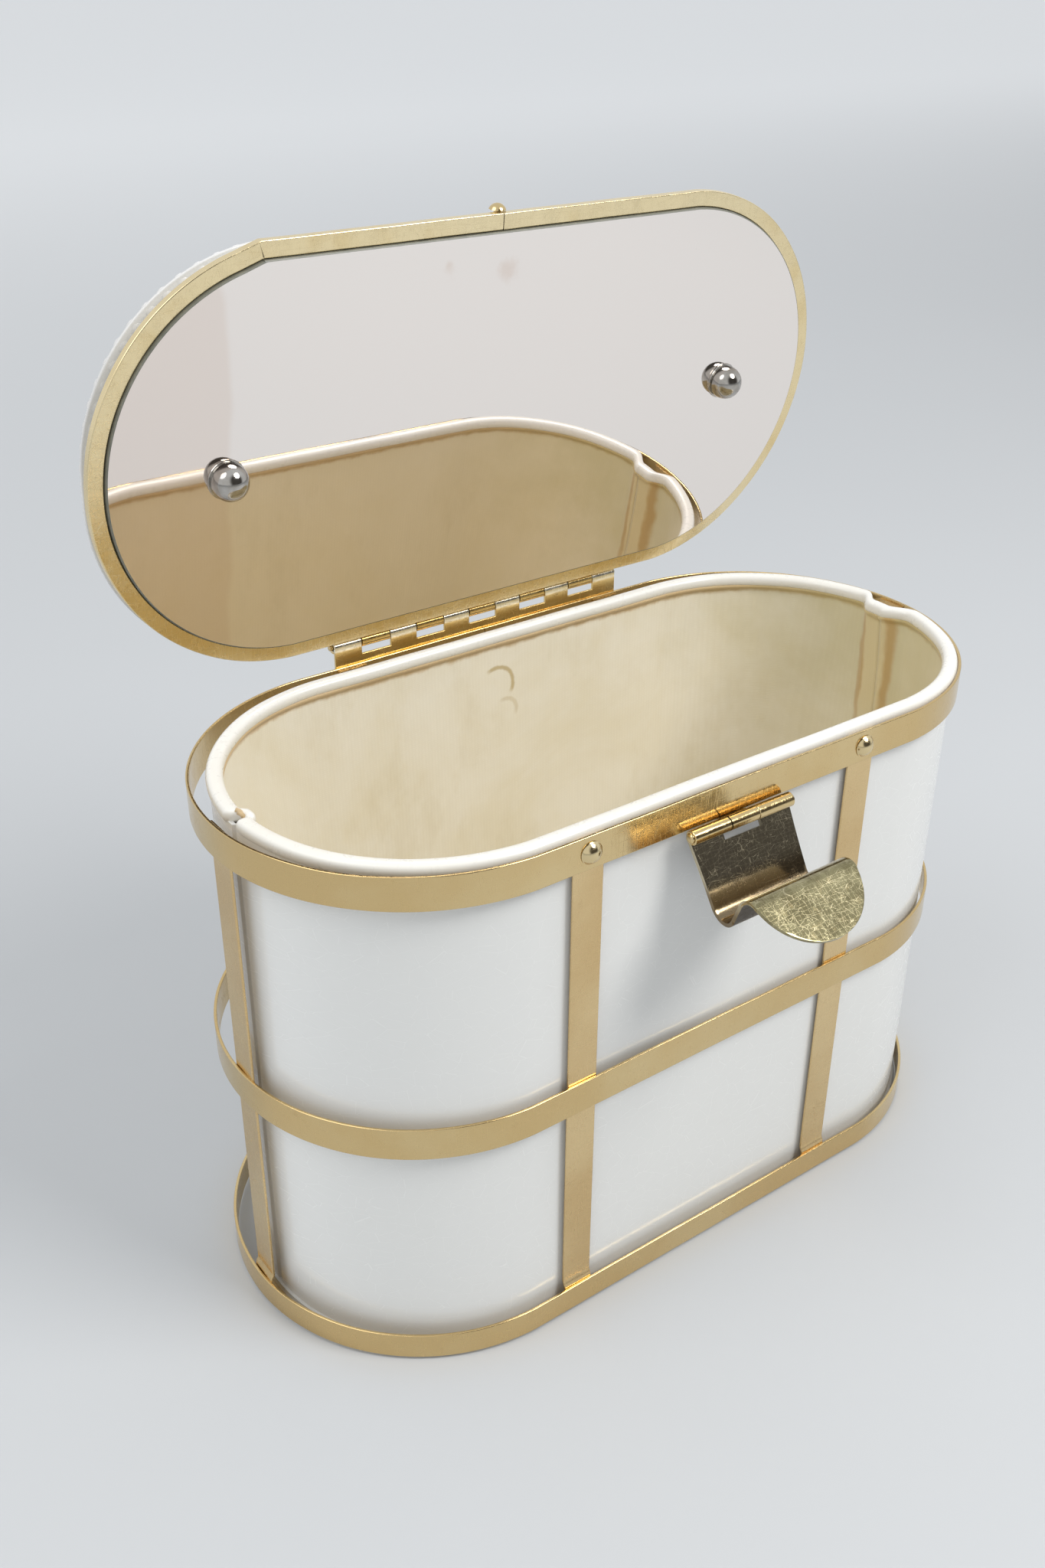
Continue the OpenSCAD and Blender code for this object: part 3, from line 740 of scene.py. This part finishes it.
def seam_tuck():
    """Puckered corner of lining cloth that stands up between the two edges at the left seam."""
    s0 = WALL.length + 0.3
    n, m = 15, 9
    verts = []
    for i in range(n):
        t = i / (n - 1)
        for j in range(m):
            u = j / (m - 1)
            swell = math.sin(math.pi * t) ** 0.7 * math.sin(math.pi * min(u * 1.15, 1)) ** 0.8
            point, normal = WALL.at(np.array([s0 + (u - 0.5) * (2.6 + 1.2 * (1 - t))]))
            out = -3.6 + 1.5 * t * t - 0.7 * swell + 0.15 * math.sin(9 * u + 3 * t)
            verts.append([*(point[0] + out * normal[0]), WALL_TOP - 5 + 7.4 * t ** 0.7 + 0.3 * swell])
    return np.array(verts), grid_faces(n, m, closed=False)


corner = piece("lining_tuck", seam_tuck(), M_CLOTH, "box", sharp=80, solid=0.9,
               weighted=False)

# ---------- brass cage ----------

CAGE = Outline(CAGE_LO, CAGE_HI)


def band(node, seed, out=0.0, dents=0.1):
    """Brass strip bent round the box and butted at the back, with rounded edges and faint hand dents."""
    lo, hi = span(node)
    butt = CAGE.length * 0.75
    s = CAGE.stops(butt + 0.08, butt + CAGE.length - 0.08)
    section = rounded(out - SHEET_T, out, lo[2], hi[2], 0.22, 4)

    def profile(k):
        p = section.copy()
        p[:, 0] += ripple(s[k], seed, dents * 0.5) * 0.5 - dents * 0.5
        p[:, 1] += ripple(s[k], seed + 4, 0.05) * (p[:, 1] - (lo[2] + hi[2]) / 2) / (hi[2] - lo[2])
        return p

    return sweep(CAGE, s, profile)


piece("band_top", band("top_band", 0.3), M_BAND, "box", ["top_band"])
piece("band_middle", band("middle_band", 1.9), M_BAND, "box", ["middle_band"])
piece("band_bottom", band("bottom_band", 3.1, SHEET_T), M_BAND, "box", ["bottom_band"])


def strap(node, spot, outward, bend):
    """Upright strap: foot under the base, step inside the bottom band, then straight up inside the others.

    spot is the place on the cage's outline, and bend curves the strap across its width.
    """
    top = span(node)[1][2]
    step_z = span("bottom_band")[1][2] + 0.9
    t = STRAP_T / 2
    foot_in, low_in, high_in, turn_r = 11.5, 0.35, 1.0, 0.9
    turn = [(low_in + turn_r * (1 - math.sin(a)), t + turn_r * (1 - math.cos(a)))
            for a in np.linspace(0, math.pi / 2, 7)]
    step = [(low_in + (high_in - low_in) * float(smooth(u)), step_z - 0.8 + 1.9 * u)
            for u in np.linspace(0.05, 1, 9)]
    knots = np.array([(inset, t) for inset in np.linspace(foot_in, 1.6, 6)] + turn
                     + [(low_in, z) for z in np.linspace(2, step_z - 1, 5)] + step
                     + [(high_in, z) for z in np.linspace(step_z + 2.2, top - t, 46)])
    outward = np.array(outward, float)
    side = np.array([-outward[1], outward[0]])
    section = rounded(-STRAP_W / 2, STRAP_W / 2, -t, t, 0.2, 3)
    verts = []
    for (inset, z), (turn_in, turn_up) in zip(knots, directions(knots)):
        for across, thick in section:
            sag = bend * across ** 2 * smooth((z - 1.5) / 3)
            flat = np.array(spot) - outward * (inset + sag) + side * across + outward * thick * turn_up
            verts.append([*flat, z + thick * turn_in])
    return np.array(verts), capped(len(knots), len(section))


STRAPS = {
    "front_left": (0, -1), "front_right": (0, -1), "back_left": (0, 1), "back_right": (0, 1),
    "left_end": (-1, 0), "right_end": (1, 0),
}
for name, (out_x, out_y) in STRAPS.items():
    node = "strap_" + name
    lo, hi = span(node)
    if out_x == 0:
        spot = ((lo[0] + hi[0]) / 2, CAGE_LO[1] if out_y < 0 else CAGE_HI[1])
        bend = 0.0
    else:
        spot = (CAGE_LO[0] if out_x < 0 else CAGE_HI[0], (lo[1] + hi[1]) / 2)
        bend = 1 / (CAGE_HI[1] - CAGE_LO[1])
    shape = strap(node, spot, (out_x, out_y), bend)
    piece("upright_" + name, shape, M_STRAP, "box", [node])


def rivet_shape(r, h, shank):
    """Domed head with a small rim, on a shank that points back."""
    ball = (r * r + h * h) / (2 * h)
    edge = math.asin(r / ball)
    dome = [(ball * math.sin(a), h - ball + ball * math.cos(a)) for a in np.linspace(0, edge * 0.94, 14)]
    return [*dome, (r, 0.12), (r * 0.98, 0.0), (r * 0.5, -0.01), (r * 0.48, -shank), (0, -shank)]


def rivets(xs, face_y, direction, r, h, shank):
    """Row of rivets half way up the top band."""
    z = (CAGE_LO[2] + CAGE_HI[2]) / 2
    return join([lathe(rivet_shape(r, h, shank), (x, face_y, z), (0, direction, 0)) for x in xs])


front_x = middle_x(("strap_front_left", "strap_front_right"))
piece("rivets_front", rivets(front_x, CAGE_LO[1], -1, 2.5, 1.6, 1.3), M_FITTING, "box",
      ["front_rivets"], weighted=False)
back_x = middle_x(("strap_back_left", "strap_back_right"))
back_x = [back_x[0], back_x[0] / 3, back_x[1] / 3, back_x[1]]
piece("rivets_hinge", rivets(back_x, CAGE_HI[1] + SHEET_T, 1, 2.0, 1.1, 2.0), M_FITTING, "box",
      ["hinge_rivets"], weighted=False)

HINGE_L = 82.0
SEGMENTS = 11            # knuckles of both leaves together
HINGE_KNUCKLE_R = 1.5
KNUCKLE_ROOM = 1.2       # room under the lid's knuckles
LEAF_MID_R = 1.15        # from the pin's axis to the middle of the rolled sheet


def body_leaf():
    """Brass leaf on the band's back: tongues roll round the pin, with windows between them."""
    face, segment = CAGE_HI[1] + SHEET_T / 2, HINGE_L / SEGMENTS
    low = span("hinge_body_leaf")[0][2] + 0.1
    window = HINGE[2] - HINGE_KNUCKLE_R - KNUCKLE_ROOM
    flat_rows = 8
    tongue = [(HINGE[1] + LEAF_MID_R * math.cos(a), HINGE[2] + LEAF_MID_R * math.sin(a))
              for a in np.radians(np.linspace(180, -128, 26))]
    rows = [(face, z) for z in np.linspace(low, window, flat_rows)] + [(face, window + 1.6)] + tongue
    columns = []
    for i in range(SEGMENTS):
        x0 = -HINGE_L / 2 + i * segment
        columns += [x0 + 0.2, x0 + segment - 0.2]
    verts = np.array([(x, y, z) for y, z in rows for x in columns])
    m = len(columns)
    # below the windows the sheet is whole; above them only every second segment goes on
    faces = [(i * m + j, i * m + j + 1, (i + 1) * m + j + 1, (i + 1) * m + j)
             for i in range(len(rows) - 1) for j in range(m - 1) if i < flat_rows - 1 or j % 4 == 0]
    used = sorted({v for f in faces for v in f})
    index = {v: k for k, v in enumerate(used)}
    return verts[used], [tuple(index[v] for v in f) for f in faces]


piece("hinge_leaf_box", body_leaf(), M_KNUCKLE, "box", ["hinge_body_leaf"], solid=0.68,
      bevel=0.12, sharp=50)

# ---------- lid ----------

rim_to_shut = LID_POSE.inverted()


def shut_span(node):
    """Lowest and highest corner of a lid node, in mm, with the lid shut."""
    co = np.array([rim_to_shut @ v.co for v in frame["nodes"][node].data.vertices]) / MM
    return co.min(axis=0), co.max(axis=0)


RIM_LO, RIM_HI = shut_span("lid_rim")
LID = Outline(RIM_LO, RIM_HI, overrun=LID_KINK)
FRAME_Z = RIM_LO[2]
PANEL_LO, PANEL_HI = shut_span("lid_panel")
MIRROR_Z = shut_span("mirror")[0][2]


def lid_rim():
    """Brass frame of the mirror: a flat strip with a short lip round the panel, butted at the front."""
    butt = LID.length * 0.25 + FRONT_SHIFT
    s = LID.stops(butt + 0.1, butt + LID.length - 0.1)
    face = rounded(-FRAME_W, 0, FRAME_Z, FRAME_Z + 1, 0.25, 4)
    lip_top = RIM_HI[2]
    section = np.concatenate([face[:5], [[0, lip_top - 0.2], [-0.2, lip_top], [-0.8, lip_top],
                                         [-0.8, FRAME_Z + 1], [-FRAME_W + 0.2, FRAME_Z + 1]], face[12:]])

    def profile(k):
        p = section.copy()
        p[:, 0] += ripple(s[k], 5.0, 0.03)
        return p

    return sweep(LID, s, profile)


piece("lid_frame", lid_rim(), M_RIM, "lid", ["lid_rim"], pose=LID_POSE)


def lid_plate(rows):
    """Plate in the lid's outline, from (inset, height) rows round its edge."""
    s = LID.stops(0, LID.length - 0.5)
    points, normals = LID.at(s)
    verts = np.concatenate([np.c_[points - i * normals, np.full(len(s), z)] for i, z in rows])
    return verts, capped(len(rows), len(s))


def mirror_glass():
    """Glass with a narrow ground edge; the face is one flat polygon."""
    inset = FRAME_W + 0.12
    back = shut_span("mirror")[1][2]
    return lid_plate([(inset, back), (inset, MIRROR_Z + 0.22), (inset + 0.3, MIRROR_Z)])


glass = piece("mirror_plate", mirror_glass(), M_MIRROR, "lid", ["mirror"], pose=LID_POSE,
              weighted=False, sharp=8)
# the side faces take the dark edge material: painted shade along the mirror's edge
glass.data.materials.append(M_GLASS_EDGE_SHADE)
shut = [rim_to_shut.to_3x3() @ p.normal for p in glass.data.polygons]
for polygon, normal in zip(glass.data.polygons, shut):
    polygon.material_index = 1 if abs(normal.z) < 0.9 else 0


def lid_board():
    """White lid panel with softly rounded upper edge."""
    inset, r = 0.85, 2.6
    edge = [(inset + r * (1 - math.cos(a)), PANEL_HI[2] - r + r * math.sin(a))
            for a in np.linspace(0, math.pi / 2, 7)]
    return lid_plate([(3.3, PANEL_LO[2] + 0.2), (inset, PANEL_LO[2])] + edge)


piece("lid_board", lid_board(), M_WHITE, "lid", ["lid_panel"], pose=LID_POSE)


TRIM_W = 3.6
TRIM_GAP = 17.5          # half of the opening over the hasp
BEAD_PITCH = 4.3


def unit_ball(around=14, rings=7):
    """Ball of radius 1 with a point at each pole."""
    u, v = np.meshgrid(np.linspace(0, 2 * math.pi, around, endpoint=False),
                       np.linspace(0, math.pi, rings + 2)[1:-1])
    ball = np.c_[(np.sin(v) * np.cos(u)).ravel(), (np.sin(v) * np.sin(u)).ravel(), np.cos(v).ravel()]
    top, last = rings * around, (rings - 1) * around
    faces = grid_faces(rings, around)
    faces += [(top, (j + 1) % around, j) for j in range(around)]
    faces += [(top + 1, last + j, last + (j + 1) % around) for j in range(around)]
    return np.concatenate([ball, [[0, 0, 1], [0, 0, -1]]]), faces


def trim_path(lo, hi):
    """Rounded rectangle round the lid's outer face, as an outline with evenly spaced points."""
    r = (hi[1] - lo[1]) / 2 - 2.5
    cx, cy = (hi[0] - lo[0]) / 2 - r, 2.5
    points = [(sx * cx + r * math.cos(math.radians(a)), sy * cy + r * math.sin(math.radians(a)))
              for sx, sy, start in ((-1, -1, 180), (1, -1, 270), (1, 1, 0), (-1, 1, 90))
              for a in np.linspace(start, start + 90, 46)]
    dense = []
    for p, q in zip(points, points[1:] + points[:1]):
        count = max(int(math.dist(p, q) / 1.3), 1)
        dense += [tuple(np.array(p) + (np.array(q) - np.array(p)) * k / count) for k in range(count)]
    path = Outline(lo, hi)
    path.set(np.array(dense))
    return path


def beaded_trim():
    """Row of squashed beads on a low strip round the lid's outer face, open over the hasp."""
    lo, hi = shut_span("lid_trim")
    path = trim_path(lo, hi)
    middle = path.s[np.argmin(np.hypot(path.points[:, 0] - FRONT_SHIFT, path.points[:, 1] - lo[1]))]
    start, end = middle + TRIM_GAP, middle + path.length - TRIM_GAP
    strip = rounded(-TRIM_W, 0, PANEL_HI[2], PANEL_HI[2] + 0.8, 0.3)
    parts = [sweep(path, path.stops(start, end), strip)]
    ball, faces = unit_ball()
    count = round((end - start) / BEAD_PITCH)
    high = hi[2] - PANEL_HI[2]
    for p, n in zip(*path.at(start + (np.arange(count) + 0.5) * (end - start) / count)):
        along = np.array([-n[1], n[0]])
        flat = p - n * TRIM_W / 2 + ball[:, :1] * 2.05 * along + ball[:, 1:2] * 1.78 * n
        parts.append((np.c_[flat, PANEL_HI[2] + high * 0.42 + ball[:, 2] * high * 0.56], faces))
    return join(parts)


piece("lid_beading", beaded_trim(), M_TRIM, "lid", ["lid_trim"], pose=LID_POSE, weighted=False)

NUT_X = middle_x(("handle_post_left", "handle_post_right"))


def dome_nut():
    """Domed nut on a thin washer, seen on the mirror side."""
    low = shut_span("mirror_nuts")[0][2]
    r, h = 3.95, MIRROR_Z - low
    centre = h - r
    ball = [(r * math.sin(a), centre + r * math.cos(a)) for a in np.linspace(0, math.pi * 0.56, 22)]
    return [*ball, (3.6, 0.35), (4.15, 0.3), (4.25, 0.1), (4.15, 0.0), (0, 0)]


nuts = join([lathe(dome_nut(), (x, 0, MIRROR_Z), (0, 0, -1)) for x in NUT_X])
piece("nuts_nickel", nuts, M_NICKEL, "lid", ["mirror_nuts"], pose=LID_POSE, weighted=False)


WIRE_R = 2.1
LEG_X = NUT_X[1] - 2.9 - WIRE_R      # the legs hang just inside the posts' heads
HANDLE_BEND = 20


def bail_handle():
    """Folded wire handle: pivots, two legs, round corners and a slightly thicker grip."""
    lo, hi = shut_span("handle")
    eye_z = (lo[2] + hi[2]) / 2
    reach, bend_x = hi[1] - WIRE_R, LEG_X - HANDLE_BEND
    corner = [(bend_x + HANDLE_BEND * math.cos(a), reach - HANDLE_BEND + HANDLE_BEND * math.sin(a))
              for a in np.linspace(0, math.pi / 2, 22)]
    right = [(LEG_X, y) for y in np.linspace(0, reach - HANDLE_BEND, 10)[:-1]] + corner
    top = [(x, reach) for x in np.linspace(bend_x, -bend_x, 30)[1:-1]]
    path = np.array([(x, y, eye_z) for x, y in right + top + [(-x, y) for x, y in right[::-1]]])
    radii = WIRE_R * (0.86 + 0.14 * smooth((1 - np.abs(path[:, 0]) / LEG_X) * 3))
    radii[[0, -1]] *= 0.6
    parts = [tube(path, radii, 24)]
    knob_r, cap = 2.45, 2.4
    knob = [(0, cap)] + [(knob_r * math.sin(a), knob_r * math.cos(a))
                         for a in np.linspace(0.1, math.pi - 0.1, 16)] + [(0, -cap)]
    length = NUT_X[1] + 3.7 - LEG_X
    pin = [(0, 0), (1.28, 0.01), (1.28, length - 0.5), (0.9, length - 0.1), (0, length)]
    for side in (-1, 1):
        parts.append(lathe(knob, (side * LEG_X, 0, eye_z), (0, 1, 0), 28))
        parts.append(lathe(pin, (side * LEG_X, 0, eye_z), (side, 0, 0), 24))
    return join(parts)


piece("bail_handle", bail_handle(), M_FITTING, "handle", ["handle"], pose=LID_POSE,
      weighted=False)

# ---------- hasp ----------

KNUCKLE_R = 1.55
HASP_W = 27.0
HASP_T = 0.85
CENTRE_W = 7.6                       # the bracket's knuckle, between the hasp's two
SLOT_W = 10.2
# The sheet is bent round two axes, given in (y, z) from the pin, and ends in a round tab
VALLEY, VALLEY_R = np.array([-9.9, -11.1]), 3.65
RIDGE, RIDGE_R = np.array([-17.6, -8.8]), 2.8
TAB_FALL = 33.0                      # the tab's slope in degrees
TAB_L = 11.6


def polar(r, degrees):
    """Point at a radius and angle, in (y, z)."""
    return r * np.array([math.cos(math.radians(degrees)), math.sin(math.radians(degrees))])


def tangent_angle(offset, difference):
    """Direction in degrees of the radius where a straight line touches two circles."""
    return math.degrees(math.atan2(offset[1], offset[0]) + math.acos(difference / np.hypot(*offset)))


def hasp_line():
    """Middle line of the bent sheet in (y, z) from the pin, and the half width at each point."""
    root = KNUCKLE_R - 0.45
    rise = RIDGE - VALLEY
    plate_a = tangent_angle(VALLEY, root - VALLEY_R)
    rise_a = tangent_angle(rise, VALLEY_R + RIDGE_R)
    tab_a = 90 + TAB_FALL
    start, low = polar(root, plate_a), VALLEY + polar(VALLEY_R, plate_a)
    line = [start + (low - start) * t for t in np.linspace(0, 1, 16)[:-1]]
    line += [VALLEY + polar(VALLEY_R, a) for a in np.linspace(plate_a, rise_a - 360, 22)]
    line += [RIDGE + polar(RIDGE_R, a) for a in np.linspace(rise_a - 180, tab_a, 18)]
    half = [HASP_W / 2 - 0.75 * math.sin(math.pi * min(k / 34, 1)) for k in range(len(line))]
    tab_start = line[-1]
    away = -polar(1, TAB_FALL)
    r = HASP_W / 2
    centre = TAB_L - r
    for a in np.linspace(math.asin(-centre / r), math.radians(88), 18)[1:]:
        d = centre + r * math.sin(a)
        line.append(tab_start + away * d)
        half.append(r * math.cos(a))
    return np.array(line), np.array(half)


def hasp_sheet():
    """The bent plate's middle surface, with the slot left open behind the middle knuckle."""
    line, half = hasp_line()
    slot = SLOT_W / HASP_W
    columns = np.r_[np.linspace(-1, -slot, 12), np.linspace(-slot, slot, 9)[1:-1], np.linspace(slot, 1, 12)]
    slot_rows = int(np.sum(np.hypot(line[:16, 0], line[:16, 1]) < 3.0))
    verts = [[FRONT_SHIFT + u * h, HASP_PIN[1] + y, HASP_PIN[2] + z]
             for (y, z), h in zip(line, half) for u in columns]
    m = len(columns)
    faces = []
    for i in range(len(line) - 1):
        for j in range(m - 1):
            if i >= slot_rows or abs(columns[j] + columns[j + 1]) / 2 >= slot:
                a = i * m + j
                faces.append((a, a + 1, a + m + 1, a + m))
    return np.array(verts), faces


def knuckle(x0, x1, centre, outer, bore, gap_at, gap=18, sides=30):
    """Rolled sheet round a pin: a split tube with small chamfers."""
    angles = np.radians(np.linspace(gap_at + gap / 2, gap_at + 360 - gap / 2, sides))
    c = 0.12
    rows = [(x0, bore), (x0, outer - c), (x0 + c, outer), (x1 - c, outer), (x1, outer - c), (x1, bore)]
    verts = [[x, centre[0] + r * math.cos(a), centre[1] + r * math.sin(a)] for a in angles for x, r in rows]
    return np.array(verts), capped(sides, len(rows))


plate = piece("hasp_plate", hasp_sheet(), M_HASP, "hasp", ["hasp"], solid=HASP_T, bevel=0.16,
              sharp=50)
# painted shade: the sheet's back face gets the almost black brass
plate.data.materials.append(M_HASP_BACK_SHADE)
plate.modifiers["thickness"].material_offset = 1
pin_at = HASP_PIN[1:]
ends = [knuckle(FRONT_SHIFT + a, FRONT_SHIFT + b, pin_at, KNUCKLE_R, 0.76, 250)
        for a, b in ((-HASP_W / 2, -CENTRE_W / 2 - 0.05), (CENTRE_W / 2 + 0.05, HASP_W / 2))]
piece("hasp_knuckles", join(ends), M_FITTING, "hasp", sharp=30)


def peened_pin(x0, x1, centre, r, head):
    """Straight pin whose ends are peened into small domes."""
    length = x1 - x0
    dome = [(head * math.sin(a), head * 0.62 * math.cos(a)) for a in np.linspace(0, math.pi / 2, 9)]
    profile = [(a, length + b) for a, b in dome] + [(r, length - 0.02), (r, 0.02)]
    profile += [(a, -b) for a, b in dome[::-1]]
    return lathe(profile, (x0, *centre), (1, 0, 0), 28)


lo, hi = span("hasp_pin")
rod = peened_pin(lo[0] + 0.55, hi[0] - 0.55, pin_at, 0.7, 1.15)
piece("hasp_pin_rod", rod, M_FITTING, "box", ["hasp_pin"], weighted=False)

# ---------- carried-over CAD nodes ----------

CARRIED = {"base_panel": M_BOARD, "mirror_backing": M_CARD, "hinge_lid_leaf": M_HINGE}
for node in ("hinge_pin", "lid_hinge_nails", "hasp_bracket", "handle_post_left", "handle_post_right",
             "catch_stud"):
    CARRIED[node] = M_FITTING
for node, material in CARRIED.items():
    obj = frame["nodes"][node]
    obj.data.materials.clear()
    obj.data.materials.append(material)

# ---------- camera, floor and light ----------

CAMERA_AT = Vector((-0.1927, -0.2352, 0.2728))
AZIMUTH, ELEVATION, ROLL = (math.radians(a) for a in (-36.07, 29.4, 0.29))
LENS = 34.99


def camera_turn():
    """Axes of a camera that looks from the azimuth and elevation, rolled a little."""
    level = math.cos(ELEVATION)
    back = Vector((math.sin(AZIMUTH) * level, -math.cos(AZIMUTH) * level, math.sin(ELEVATION)))
    right = Vector((math.cos(AZIMUTH), math.sin(AZIMUTH), 0))
    up = back.cross(right)
    c, s = math.cos(ROLL), math.sin(ROLL)
    return Matrix((right * c + up * s, up * c - right * s, back)).transposed()


camera = add_object("camera", bpy.data.cameras.new("camera"))
camera.data.lens, camera.data.sensor_width = LENS, 36
camera.data.clip_start = 0.01
camera.matrix_world = Matrix.Translation(CAMERA_AT) @ camera_turn().to_4x4()
bpy.context.scene.camera = camera


def floor_material():
    """Pale paper, painted paler towards the far distance as painted light for the brighter backdrop."""
    g = Graph("floor_paper")
    where = g.place()
    # painted light: the paper's colour rises towards near white with distance
    far = g.remap(g.axis(where, 1), 0.15, 2.2)
    color = g.mix(g.noise(where, 3, 3), (0.535, 0.55, 0.565), (0.55, 0.565, 0.58))
    color = g.mix(far, color, (0.96, 0.975, 0.99))
    g.set(Base_Color=color, Roughness=0.7)
    return g.material


FLOOR = 30.0             # metres from the middle to each side
floor_mesh = bpy.data.meshes.new("floor")
floor_mesh.from_pydata([(x * FLOOR, y * FLOOR, 0) for x, y in ((-1, -1), (1, -1), (1, 1), (-1, 1))], [],
                       [(0, 1, 2, 3)])
floor_mesh.materials.append(floor_material())
floor = add_object("floor", floor_mesh)


def soft_world():
    """Pale room light, with a dark stretch low in the front right that polished fittings pick up."""
    world = bpy.data.worlds.new("room")
    bpy.context.scene.world = world
    g = Graph("room", world, "Background")
    off = g.gap(g.node("TexCoord").outputs["Generated"], (0.25, -0.9, 0.3))
    g.set(Color=g.mix(g.remap(off, 0.45, 0.8), (0.10, 0.095, 0.09), (0.90, 0.92, 0.94)), Strength=0.88)


def soft_light(name, place, target, size, power, color):
    light = bpy.data.lights.new(name, "AREA")
    light.shape, light.size, light.energy, light.color = "DISK", size, power, color
    obj = add_object(name, light)
    obj.location = place
    obj.rotation_mode = "QUATERNION"
    obj.rotation_quaternion = (Vector(place) - Vector(target)).to_track_quat("Z", "Y")


MIDDLE = (0, 0, 0.08)    # the lamps face the middle of the box
soft_world()
soft_light("key", (0.46, -0.68, 1.0), MIDDLE, 0.6, 9.3, (1.0, 0.99, 0.975))
soft_light("fill", (-0.75, 0.05, 1.0), MIDDLE, 0.8, 3.4, (0.98, 0.99, 1.0))
bpy.context.scene.view_settings.view_transform = "Standard"
